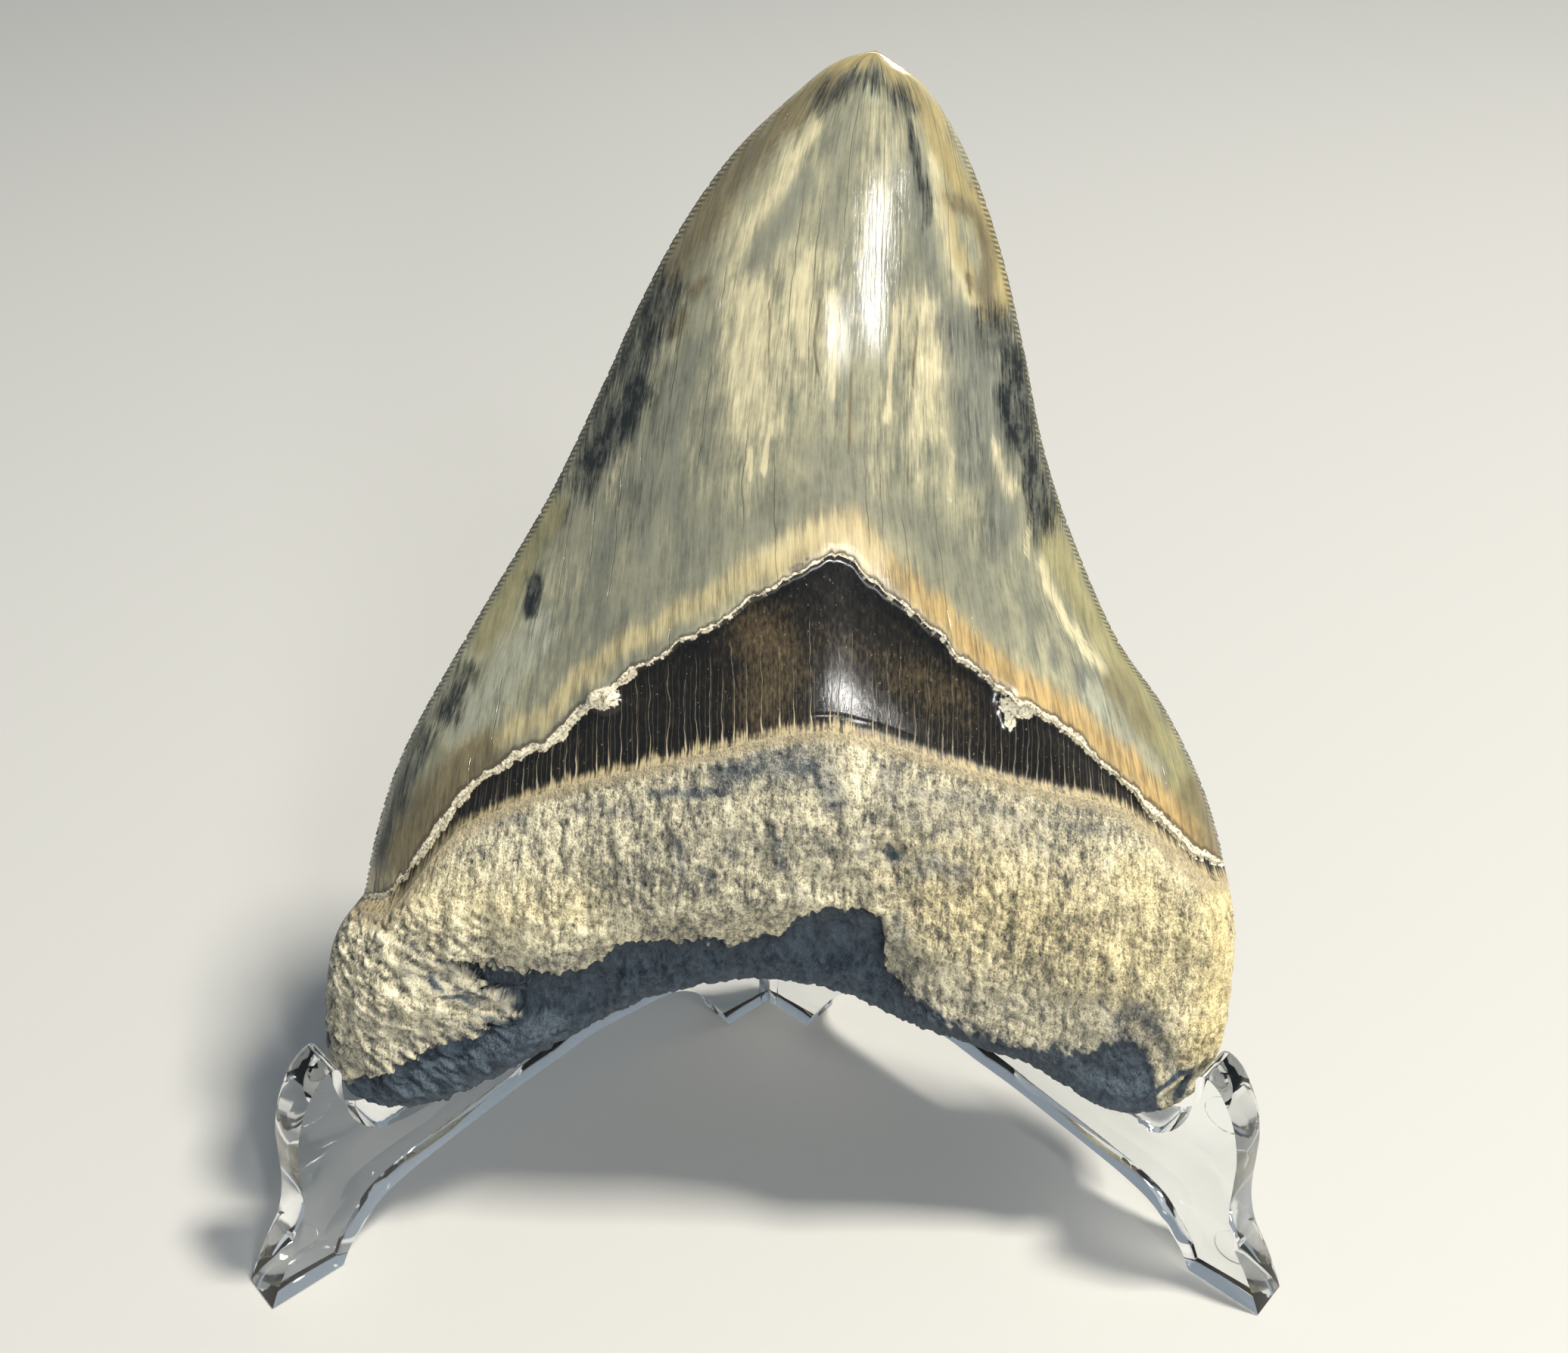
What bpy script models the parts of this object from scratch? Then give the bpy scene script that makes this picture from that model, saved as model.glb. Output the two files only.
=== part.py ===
"""Megalodon tooth leaning on a clear two-arm easel.

Blender 4.5, metres, +Z up. The inner face of the tooth looks to -Y, and the origin is on the
ground, in the middle of the object's box. Lengths below are in millimetres and are turned
into metres by MM as the meshes are made.

The tooth is drawn in its own frame: x to the right, h up along its flat back, and n out of
the plane of its cutting edges, towards the inner (front) face.
"""
import math

import bmesh
import bpy
import numpy as np
from mathutils import Matrix, Vector, noise

MM = 0.001

# The tooth's place
HINGE_Y = 25.44           # from the middle of the box back to the line where the arms meet
LEAN = math.radians(18)   # the tooth leans back this far
FOOT_Y = -34.4            # where h = 0, n = 0 is, forward of the hinge line
FOOT_Z = 19.5

# The tooth's outline, (x, h)
CROWN_LEFT = [(11, 133.3), (7, 132.2), (3.1, 129.6), (-5.1, 122.1), (-11.5, 113.5), (-17, 103.6),
              (-21.3, 94.4), (-28.3, 80.4), (-36.8, 66.3), (-44.9, 52.6), (-49.3, 43.7),
              (-52.3, 34.5), (-54.1, 26.7)]
CROWN_RIGHT = [(11, 133.3), (17.1, 129.1), (22.4, 121.1), (26.6, 110.9), (30, 99.2), (32.9, 87.7),
               (36.9, 77), (43.5, 63.4), (50.5, 53.8), (55.9, 44), (59, 36), (60, 32.3)]
ROOT_LEFT = [(-54.1, 26.7), (-57.2, 22.6), (-58.6, 17.5), (-59, 11.5), (-58.5, 6), (-56.7, 2.2)]
ROOT_RIGHT = [(60, 32.3), (60.9, 28.5), (61.3, 22), (61.2, 15), (60.2, 8.5), (57.4, 2.2)]
ARCH = [(-56.7, 2.2), (-54.5, 0.2), (-50.6, -0.8), (-45.2, -0.4), (-40, 1.6), (-34, 4.9), (-28.6, 7.8),
        (-21.9, 11.2), (-15, 14.6), (-6, 17), (0, 17.4), (6, 16.6), (12.1, 14.8), (18.1, 12.4),
        (28.2, 8.6), (34, 6.4), (40, 2.6), (44.9, -0.3), (49, -0.9), (53, -0.4), (57.4, 2.2)]

# Lines across the tooth, (x, h): the enamel's border on each face, and the root's upper rim
ENAMEL_FRONT = [(-54.1, 26.7), (-49.8, 28.8), (-47, 32), (-42.8, 37.9), (-38.4, 43.9), (-34, 47.6),
                (-27.8, 51.4), (-17.8, 60.5), (-6.4, 68), (1, 72.4), (7, 75.6), (12.2, 72.5),
                (20, 65.9), (26.9, 59.5), (36, 53.7), (44.8, 45.9), (49.7, 40.3), (54.6, 35.6),
                (60, 32.3)]
ROOT_RIM = [(-54.7, 25.9), (-49.4, 27.8), (-46.4, 31), (-42.2, 36.6), (-37.8, 40.7), (-27.6, 45.7),
            (-15.9, 49.4), (2.2, 54.6), (11.6, 54), (20.3, 51), (30.1, 47.6), (42.4, 44), (47, 41),
            (51.9, 36.9), (55.3, 33.6), (60.4, 30.9)]
ENAMEL_BACK = [(-54.1, 26.7), (-44, 29), (-25, 35), (3, 38.5), (30, 36.5), (50, 33), (60, 32.3)]

# The tooth's thickness
TOOTH_WIDTH = 116
CROWN_RISE = 19           # the inner face over the cutting edges, at the crown's base
CROWN_TAPER = 58
CROWN_BACK = 5.5          # the outer face behind them
BACK_TAPER = 30
TIP_LENS, BASE_LENS = 0.85, 0.63    # a low power gives a full section, a high one a peaked one
LENS_CHANGE = (75, 35)              # between these heights
ROOT_MIDDLE, ROOT_LOBE, ROOT_WIDTH = 17.8, 12, 26
ROOT_MIDDLE_X = 5
RIDGE_SWELL = 0.13        # shares of the root's height: the ridge's rise below the rim,
LOBE_FALL = 0.1           # the fall towards each lobe's foot,
UNDERCUT = 0.34           # and the fall towards the arch
UNDERCUT_LEFT, UNDERCUT_RIGHT = (-34, -20), (24, 6)
ROOT_BACK = 6.2
EDGE_SIDE, EDGE_LOBE, EDGE_ARCH = 3, 6, 4    # where the root's two faces meet
SIDE_ROUND, FOOT_ROUND, BACK_ROUND = 9, 5.5, 6
ENAMEL_STEP = 0.8         # the enamel stands over the dark neck band
STEP_ROUND = 10           # and meets it without a step at the sides
RIM_SHARE = 0.55          # how much of the rise from crown to ridge the root's rim has
NECK_SHARE = 0.6          # and how much of that the neck band has
BEND = 1.7                # how soon the rows across the crown take the border's shape
RIM_Q = 1.045             # the rim starts just below the enamel's corner

SERRATIONS = 174          # along each cutting edge
SERRATION_DEPTH = 0.42
WORN_TIP = 0.1            # the share of each edge, from the tip, that is worn smooth

# Lumps and hollows on the inner face: x, h, radius along x, radius along h, height
RELIEF = [
    (-20.6, 57.7, 2.4, 1.5, 1.0),    # crust on the enamel's border, left
    (29.8, 57.6, 2.0, 1.8, 1.0),     # and right
    (14.3, 39.4, 1.5, 2.4, -1.9),    # the nutrient pit
    (10.3, 48, 2.6, 6, 0.7),         # the pale band down the root's middle
    (-38.5, 20.6, 5.5, 1.8, -1.9),   # gouges on the left lobe
    (-34.5, 15.5, 4.5, 1.6, -1.8),
    (-40, 10.5, 3.5, 2, -1.4),
    (-46.5, 19.5, 5, 4.5, 1.0),      # lumps on the left lobe
    (-52.5, 13.5, 3.5, 4, 0.8),
    (-47.5, 8, 4.5, 3, 0.9),
    (-30, 31, 7, 4, 0.7),
    (-15, 36, 6, 5, 0.6),
    (30, 30, 9, 5, 0.6),             # lumps on the right lobe
    (46, 22, 6, 5, 0.8),
    (53, 29, 4, 5, 0.7),
    (38, 17, 5, 3, -0.8),
    (24, 22, 6, 4, -0.5),
]
CHIP = (54.3, 3.9, 4.6, 1.5, 42)     # x, h, half length, half width, slope in degrees
CHIP_DEPTH = 2.2
LUMP_SIZE, LUMP_HEIGHT = 6.5, 0.75   # the root's uneven surface
SMALL_LUMP_SIZE, SMALL_LUMP_HEIGHT = 2.9, 0.45
BACK_LUMP_SIZE, BACK_LUMP_HEIGHT = 8, 0.25
GROOVE_PITCH, GROOVE_DEPTH = 3.1, 0.16

# Mesh counts
CROWN_ROWS, NECK_ROWS, ROOT_ROWS, COLUMNS = 29, 5, 15, 42
BACK_CROWN_ROWS, BACK_ROOT_ROWS, BACK_COLUMNS = 22, 6, 24
ROOT_SIDE_STEPS, ARCH_STEPS = 12, 44
SIDE_INSET = 0.01         # the first column's distance from the edge, as a share of the width

# The easel
ARM_ANGLE = math.radians(48.58)   # from straight ahead out to each arm
PLATE = 6
CHAMFER = 0.6
REST_N = -6.75            # the uprights' front edges lie just behind the tooth's back
UPRIGHT_TOP = 82
# One arm's outline, (s, z), s outwards from the hinge line
TOE_TO_CRADLE = [(87.2, 0), (86, 2.6), (84, 6.1), (81.9, 9.2), (80.7, 12.4), (80.1, 16), (79.9, 20.4),
                 (79.6, 24.5), (78.6, 28.6), (77.2, 31.6), (75.3, 34.2), (73.2, 35.2), (72.1, 34.1),
                 (72.3, 31.8), (72.3, 29), (71.8, 26.2), (70.5, 23.4), (68.2, 21.2), (64.5, 20.1), (59, 20),
                 (53, 20), (47.5, 20), (44, 20.4), (41.6, 21.9), (40.1, 24.2)]
UPRIGHT_END = [(8.2, 81.9), (3.6, 82.3), (1.2, 81.2), (0.2, 78.6)]
UNDERSIDE = [(8.2, 0), (8.6, 1.5), (10.7, 5.4), (13.3, 9.4), (16, 12.3), (20, 14.2), (27, 14.9),
             (33.7, 15.3), (39.5, 14.5), (46, 13.7), (52.5, 12.5), (59.2, 11.2), (65.3, 9.8),
             (69.9, 7.9), (73.4, 4.6), (75.2, 2.6), (76.6, 0)]

# The hinge, behind the line where the arms' inner faces meet
PIN_Y = 3.3
BARREL_RADIUS = 3.1
PIN_RADIUS, PIN_HEAD = 1.25, 2.1
PLAY = 0.35
LEFT_BARRELS = [(8, 27), (59, 78)]
RIGHT_BARRELS = [(27.4, 58.6)]
PIN_FOOT, PIN_TOP = 7.2, 79.8
ROUND_STEPS = 20


# ---- Curves ----

def smooth_path(points, steps=10):
    """A Catmull-Rom curve through the points, as a dense polyline."""
    knots = np.array(points, float)
    ends = np.vstack([2 * knots[0] - knots[1], knots, 2 * knots[-1] - knots[-2]])
    share = np.linspace(0, 1, steps, endpoint=False)[:, None]
    runs = []
    for a, b, c, d in zip(ends, ends[1:], ends[2:], ends[3:]):
        bend = 2 * a - 5 * b + 4 * c - d
        twist = 3 * b - a - 3 * c + d
        runs.append(b + 0.5 * ((c - a) * share + bend * share**2 + twist * share**3))
    return np.vstack(runs + [knots[-1:]])


def along(path, share):
    """The points at these shares of a polyline's length."""
    steps = np.hypot(*np.diff(path, axis=0).T)
    run = np.concatenate([[0], np.cumsum(steps)]) / steps.sum()
    return np.stack([np.interp(share, run, path[:, 0]), np.interp(share, run, path[:, 1])], -1)


def across(path, w):
    """The point of a left-to-right line at the share w of its width."""
    x = path[0, 0] + (path[-1, 0] - path[0, 0]) * w
    return np.stack([x, np.interp(x, path[:, 0], path[:, 1])], -1)


def ease(low, high, value):
    share = np.clip((value - low) / (high - low), 0, 1)
    return share * share * (3 - 2 * share)


LEFT_EDGE, RIGHT_EDGE = smooth_path(CROWN_LEFT), smooth_path(CROWN_RIGHT)
LEFT_SIDE, RIGHT_SIDE = smooth_path(ROOT_LEFT), smooth_path(ROOT_RIGHT)
FOOT_LINE = smooth_path(ARCH)
FRONT_BORDER, BACK_BORDER = smooth_path(ENAMEL_FRONT), smooth_path(ENAMEL_BACK)
RIM_LINE = smooth_path(ROOT_RIM)
TIP_H = CROWN_LEFT[0][1]


# ---- The tooth's outline ----

def side(q, right):
    """A point of one side of the outline: q runs from 0 at the tip, over 1 where the enamel
    ends, to 2 at the lobe's outer foot."""
    crown = along(RIGHT_EDGE if right else LEFT_EDGE, np.clip(q, 0, 1))
    root = along(RIGHT_SIDE if right else LEFT_SIDE, np.clip(q - 1, 0, 1))
    return np.where((q <= 1)[..., None], crown, root)


def edge_n(q, w):
    """The outline's n: 0 along the cutting edges, then out between the root's two faces."""
    side_n = EDGE_SIDE * ease(1, 1.35, q) + (EDGE_LOBE - EDGE_SIDE) * ease(1.4, 2, q)
    middle = ease(0.12, 0.35, w) * ease(0.12, 0.35, 1 - w)
    return side_n - (EDGE_LOBE - EDGE_ARCH) * middle * ease(1.9, 2, q)


def saw(q):
    """How far a cutting edge dips between its serrations, from 0 to 1."""
    wave = 0.5 - 0.5 * np.cos(2 * np.pi * SERRATIONS * q)
    return wave * ease(WORN_TIP * 0.6, WORN_TIP * 1.6, q) * ease(1, 0.985, q)


def serrated_side(q, right):
    place = side(q, right)
    step = 0.003
    run = side(np.minimum(q + step, 2), right) - side(np.maximum(q - step, 0), right)
    inward = np.stack([run[:, 1], -run[:, 0]], -1) * (1 if right else -1)
    inward /= np.maximum(np.hypot(*inward.T), 1e-9)[:, None]
    return place + inward * (SERRATION_DEPTH * saw(q))[:, None]


# ---- The tooth's two faces ----

def crown_place(w, t, border):
    """Rows that are straight at the tip and take the border's shape at t = 1."""
    straight = (1 - w)[:, None] * side(t, False) + w[:, None] * side(t, True)
    first, last = border[0], border[-1]
    base = (1 - w)[:, None] * first + w[:, None] * last
    return straight + (t**BEND)[:, None] * (across(border, w) - base)


def root_place(w, t, top, q):
    """Rows from the line top down to the foot, pulled out to the outline at both sides."""
    place = (1 - t)[:, None] * across(top, w) + t[:, None] * across(FOOT_LINE, w)
    for right, share in ((False, (1 - w)**3), (True, w**3)):
        end = -1 if right else 0
        straight = (1 - t)[:, None] * top[end] + t[:, None] * FOOT_LINE[end]
        place = place + share[:, None] * (side(q, right) - straight)
    return place


def lens(x, h, power):
    """1 at the crown's middle, falling to 0 at its cutting edges."""
    left = np.interp(-h, -LEFT_EDGE[:, 1], LEFT_EDGE[:, 0])
    right = np.interp(-h, -RIGHT_EDGE[:, 1], RIGHT_EDGE[:, 0])
    u = (2 * x - left - right) / np.maximum(right - left, 1e-6)
    return np.clip(1 - u * u, 0, 1)**power


def crown_front(x, h):
    power = TIP_LENS + (BASE_LENS - TIP_LENS) * ease(*LENS_CHANGE, h)
    return CROWN_RISE * (1 - np.exp((h - TIP_H) / CROWN_TAPER)) * lens(x, h, power)


def crown_back(x, h):
    flat = 1 - (1 - lens(x, h, 1))**2
    return -CROWN_BACK * (1 - np.exp((h - TIP_H) / BACK_TAPER)) * flat


def quarter_round(distance, radius, power=2.0):
    """0 at the edge, 1 from the radius inwards."""
    return (1 - (1 - np.clip(distance / radius, 0, 1))**power)**(1 / power)


def relief(x, h):
    """The lumps, pits and gouges, and the chip at the right lobe's foot."""
    total = np.zeros_like(x)
    for bx, bh, rx, rh, height in RELIEF:
        total += height * np.exp(-((x - bx) / rx)**2 - ((h - bh) / rh)**2)
    cx, ch, length, width, slope = CHIP
    turn = math.radians(slope)
    run = (x - cx) * math.cos(turn) + (h - ch) * math.sin(turn)
    off = (h - ch) * math.cos(turn) - (x - cx) * math.sin(turn)
    return total - CHIP_DEPTH * np.exp(-(run / length)**4 - (off / width)**2)


def lumps(x, h, size, seed):
    """Smooth noise from -1 to 1, with lumps about this size."""
    found = [noise.noise(Vector((a / size, b / size, seed))) for a, b in zip(x, h)]
    return np.array(found)


def root_front(w, t, x, h):
    """The root's inner face: a ridge below the rim that falls away to the arch in the middle."""
    ridge = ROOT_LOBE + (ROOT_MIDDLE - ROOT_LOBE) * np.exp(-((x - ROOT_MIDDLE_X) / ROOT_WIDTH)**2)
    swell = 1 - RIDGE_SWELL * ease(0.3, 0, t)
    over_arch = ease(*UNDERCUT_LEFT, x) * ease(*UNDERCUT_RIGHT, x)
    fall = LOBE_FALL * ease(0.4, 1, t) + UNDERCUT * over_arch * ease(0.55, 0.8, t)
    rough = LUMP_HEIGHT * lumps(x, h, LUMP_SIZE, 3.1)
    rough += SMALL_LUMP_HEIGHT * lumps(x, h, SMALL_LUMP_SIZE, 8.7)
    grooves = GROOVE_DEPTH * np.cos(2 * np.pi * x / GROOVE_PITCH + 1.5 * lumps(x, h, 14, 5.5))
    return ridge * (swell - fall) + ease(0.06, 0.25, t) * (rough + grooves * ease(0.7, 0.5, t))


def front_face(w, v):
    """(x, h, n) of the inner face: v runs over 0 at the tip, 1 at the enamel's border, 2 at the
    root's rim and 3 at its foot. w runs from the left edge to the right one."""
    crown_t, neck_t, root_t = np.clip(v, 0, 1), np.clip(v - 1, 0, 1), np.clip(v - 2, 0, 1)
    q = outline_q(v)
    neck = (1 - neck_t)[:, None] * across(FRONT_BORDER, w) + neck_t[:, None] * across(RIM_LINE, w)
    place = np.where((v <= 1)[:, None], crown_place(w, crown_t, FRONT_BORDER), neck)
    place = np.where((v > 2)[:, None], root_place(w, root_t, RIM_LINE, q), place)
    x, h = place.T
    from_side = TOOTH_WIDTH * np.minimum(w, 1 - w)
    middle = quarter_round(from_side, STEP_ROUND)
    round_side = quarter_round(from_side, SIDE_ROUND)
    crown_n = crown_front(x, h)
    step = ENAMEL_STEP * middle * np.where((v > 1) & (v < 2), 1, 0)
    height = across(RIM_LINE, w)[:, 1] - across(FOOT_LINE, w)[:, 1]
    round_foot = quarter_round((1 - root_t) * height, FOOT_ROUND)
    edge = edge_n(q, w)
    body = edge + (root_front(w, root_t, x, h) - edge) * round_side * round_foot
    start = crown_n + (root_front(w, 0 * w, x, h) - crown_n) * RIM_SHARE * middle
    root_n = start + (body - start) * ease(-0.02, 0.12, root_t)
    neck_n = crown_n + (start - crown_n) * NECK_SHARE * neck_t**2 - step
    n = np.where(v <= 1, crown_n, neck_n)
    n = np.where(v >= 2, root_n, n)
    n += relief(x, h) * round_foot * np.where(v < 0.9, 0, 1)
    return np.stack([x, h, n], -1)


def back_face(w, v):
    """(x, h, n) of the outer face: v runs over 0 at the tip, 1 where the enamel ends and 2 at
    the foot."""
    root_t = np.clip(v - 1, 0, 1)
    crown = crown_place(w, np.clip(v, 0, 1), BACK_BORDER)
    root = root_place(w, root_t, BACK_BORDER, np.maximum(v, 1))
    place = np.where((v <= 1)[:, None], crown, root)
    x, h = place.T
    edge = edge_n(v, w)
    height = across(BACK_BORDER, w)[:, 1] - across(FOOT_LINE, w)[:, 1]
    lobe = 1 - ease(0.2, 0.36, w) * ease(0.2, 0.36, 1 - w)
    round_foot = quarter_round((1 - root_t) * height, BACK_ROUND, 2 - 0.75 * lobe)
    round_side = quarter_round(TOOTH_WIDTH * np.minimum(w, 1 - w), SIDE_ROUND)
    flat = BACK_LUMP_HEIGHT * lumps(x, h, BACK_LUMP_SIZE, 1.7) - ROOT_BACK
    root_n = edge + (flat - edge) * round_side * round_foot
    start = crown_back(x, h)
    root_n = start + (root_n - start) * ease(0, 0.3, root_t)
    return np.stack([x, h, np.where(v <= 1, start, root_n)], -1)


def outline_q(v):
    """The inner face's row v, as a place down the outline."""
    neck = 1 + (RIM_Q - 1) * (v - 1)
    root = RIM_Q + (2 - RIM_Q) * (v - 2)
    return np.where(v <= 1, v, np.where(v <= 2, neck, root))


def to_world(points):
    """From (x, h, n) to metres in the object's frame."""
    x, h, n = np.asarray(points, float).T
    y = HINGE_Y + FOOT_Y + h * math.sin(LEAN) - n * math.cos(LEAN)
    z = FOOT_Z + h * math.cos(LEAN) + n * math.sin(LEAN)
    return np.stack([x, y, z], -1) * MM


# ---- The tooth's mesh ----

def zip_lines(faces, one, one_at, two, two_at):
    """Fills the strip between two lines of vertices whose places run the same way."""
    i, j = 0, 0
    while i < len(one) - 1 or j < len(two) - 1:
        take_one = j == len(two) - 1 or (i < len(one) - 1 and one_at[i + 1] <= two_at[j + 1])
        if take_one:
            faces.append((one[i], one[i + 1], two[j]))
            i += 1
        else:
            faces.append((one[i], two[j + 1], two[j]))
            j += 1


def face_grid(vertices, faces, surface, rows, columns, ring, row_q):
    """One face of the tooth: a grid of rows and columns, zipped to the outline's ring."""
    spread = 0.5 - 0.5 * np.cos(np.linspace(0, np.pi, columns + 1))
    w = 0.6 * spread + 0.4 * np.linspace(0, 1, columns + 1)
    w = SIDE_INSET + (1 - 2 * SIDE_INSET) * w
    grid_w, grid_v = np.meshgrid(w, rows)
    points = surface(grid_w.ravel(), grid_v.ravel())
    first = len(vertices)
    vertices.extend(points)
    index = first + np.arange(len(rows) * len(w)).reshape(len(rows), len(w))
    for row, below in zip(index, index[1:]):
        for k in range(columns):
            faces.append((row[k], row[k + 1], below[k + 1], below[k]))
    q = row_q(np.array(rows))
    tip, left, right, foot = ring["tip"], ring["left"], ring["right"], ring["foot"]
    for k in range(columns):
        faces.append((tip, index[0][k + 1], index[0][k]))
    for line, column in ((left, index[:, 0]), (right, index[:, -1])):
        zip_lines(faces, [i for i, _ in line], [a for _, a in line], list(column), list(q))
        lowest = line[-1][0]
        faces.append((lowest, column[-1], foot[0][0] if line is left else foot[-1][0]))
    zip_lines(faces, [i for i, _ in foot], [a for _, a in foot], list(index[-1]), list(w))


def outline_ring(vertices):
    """The vertices where the two faces meet: tip, left side, foot and right side."""
    per_serration = 2
    crown_q = np.linspace(0, 1, SERRATIONS * per_serration + 1)[1:]
    root_q = np.linspace(1, 2, ROOT_SIDE_STEPS + 1)[1:]
    q = np.concatenate([crown_q, root_q])
    ring = {"tip": len(vertices)}
    vertices.append(np.array([*CROWN_LEFT[0], 0.0]))
    for name, right in (("left", False), ("right", True)):
        flat = serrated_side(q, right)
        n = edge_n(q, np.full_like(q, 1.0 if right else 0.0))
        first = len(vertices)
        vertices.extend(np.column_stack([flat, n]))
        ring[name] = [(ring["tip"], 0.0)] + [(first + i, a) for i, a in enumerate(q)]
    w = np.linspace(0, 1, ARCH_STEPS + 1)[1:-1]
    flat = across(FOOT_LINE, w)
    first = len(vertices)
    vertices.extend(np.column_stack([flat, edge_n(np.full_like(w, 2.0), w)]))
    ring["foot"] = [(first + i, a) for i, a in enumerate(w)]
    return ring


def front_rows():
    """The inner face's rows, with a close pair at each ledge."""
    ledge = 0.012
    crown = np.linspace(0, 1, CROWN_ROWS + 1)[1:]
    neck = np.linspace(1 + ledge * 4, 2 - ledge * 4, NECK_ROWS)
    root = 2 + np.linspace(0, 1, ROOT_ROWS + 1)[:-1]**0.9
    last = 3 - 0.5 / ROOT_ROWS
    return list(crown) + list(neck) + list(root) + [last]


def back_rows():
    crown = np.linspace(0, 1, BACK_CROWN_ROWS + 1)[1:]
    root = 1 + np.linspace(0, 1, BACK_ROOT_ROWS + 1)[1:-1]
    return list(crown) + list(root) + [2 - 0.4 / BACK_ROOT_ROWS, 2 - 0.12 / BACK_ROOT_ROWS]


def make_tooth():
    vertices, faces = [], []
    ring = outline_ring(vertices)
    face_grid(vertices, faces, front_face, front_rows(), COLUMNS, ring, outline_q)
    face_grid(vertices, faces, back_face, back_rows(), BACK_COLUMNS, ring, lambda v: v)
    mesh = bpy.data.meshes.new("megalodon_tooth")
    mesh.from_pydata(to_world(vertices).tolist(), [], [tuple(map(int, f)) for f in faces])
    tidy = bmesh.new()
    tidy.from_mesh(mesh)
    bmesh.ops.triangulate(tidy, faces=tidy.faces)
    bmesh.ops.recalc_face_normals(tidy, faces=tidy.faces)
    tidy.to_mesh(mesh)
    tidy.free()
    mesh.shade_smooth()
    mesh.set_sharp_from_angle(angle=math.radians(50))
    return add_object("megalodon_tooth", mesh, FOSSIL)


# ---- The easel ----

def rest_s(z):
    """The uprights' front edge: where the plane just behind the tooth meets an arm."""
    y = FOOT_Y + (z - FOOT_Z - REST_N * math.sin(LEAN)) * math.tan(LEAN) - REST_N * math.cos(LEAN)
    return -y / math.cos(ARM_ANGLE)


def arm_outline():
    upright = [(rest_s(z), z) for z in (27, 45, 62, UPRIGHT_TOP - 7)]
    shoulder = [(rest_s(UPRIGHT_TOP - 7), UPRIGHT_TOP - 7), (rest_s(UPRIGHT_TOP) + 0.2, UPRIGHT_TOP - 2)]
    front = smooth_path(TOE_TO_CRADLE + upright[:1], 2)
    top = smooth_path(shoulder + UPRIGHT_END, 3)
    under = smooth_path(UNDERSIDE, 2)
    rear = [(0.2, 0)]
    return [tuple(p) for p in front] + upright[1:-1] + [tuple(p) for p in top] + rear + [
        tuple(p) for p in under]


def as_mesh(curve_object):
    """A curve object's evaluated shape as a mesh with its caps welded on."""
    bpy.context.view_layer.update()
    graph = bpy.context.evaluated_depsgraph_get()
    mesh = bpy.data.meshes.new_from_object(curve_object.evaluated_get(graph), depsgraph=graph)
    mesh.transform(curve_object.matrix_world)
    weld = bmesh.new()
    weld.from_mesh(mesh)
    bmesh.ops.remove_doubles(weld, verts=weld.verts, dist=0.00001)
    bmesh.ops.recalc_face_normals(weld, faces=weld.faces)
    weld.to_mesh(mesh)
    weld.free()
    bpy.data.objects.remove(curve_object)
    return mesh


def arm_plate(name, hand):
    """One arm's plate, standing on its foot. hand is -1 for the left arm and 1 for the right."""
    curve = bpy.data.curves.new(name, "CURVE")
    curve.dimensions = "2D"
    curve.fill_mode = "BOTH"
    curve.extrude = PLATE / 2 * MM
    outline = arm_outline()
    spline = curve.splines.new("POLY")
    spline.points.add(len(outline) - 1)
    for point, (s, z) in zip(spline.points, outline):
        point.co = (s * MM, z * MM, 0, 1)
    spline.use_cyclic_u = True
    plate = bpy.data.objects.new(name, curve)
    bpy.context.scene.collection.objects.link(plate)
    # The curve's x, y and z become the arm's outward run, up, and across its thickness.
    outward = Vector((hand * math.sin(ARM_ANGLE), -math.cos(ARM_ANGLE), 0))
    up = Vector((0, 0, 1))
    side_way = outward.cross(up)
    behind = Vector((hand * math.cos(ARM_ANGLE), math.sin(ARM_ANGLE), 0))
    place = Matrix((outward, up, side_way)).transposed().to_4x4()
    place.translation = Vector((0, HINGE_Y * MM, 0)) + behind * PLATE / 2 * MM
    plate.matrix_world = place
    return add_object(name, as_mesh(plate), CLEAR)


def upright_cylinder(name, radius, low, high, collection):
    bpy.ops.mesh.primitive_cylinder_add(
        vertices=ROUND_STEPS, radius=radius * MM, depth=(high - low) * MM,
        location=(0, (HINGE_Y + PIN_Y) * MM, (low + high) / 2 * MM))
    made = bpy.context.object
    made.name = name
    made.hide_render = True
    made.display_type = "WIRE"
    for owner in list(made.users_collection):
        owner.objects.unlink(made)
    collection.objects.link(made)
    return made


def combine(target, tool, operation):
    cut = target.modifiers.new(f"{operation.lower()} {tool.name}", "BOOLEAN")
    cut.operation = operation
    cut.object = tool
    cut.solver = "EXACT"


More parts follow.
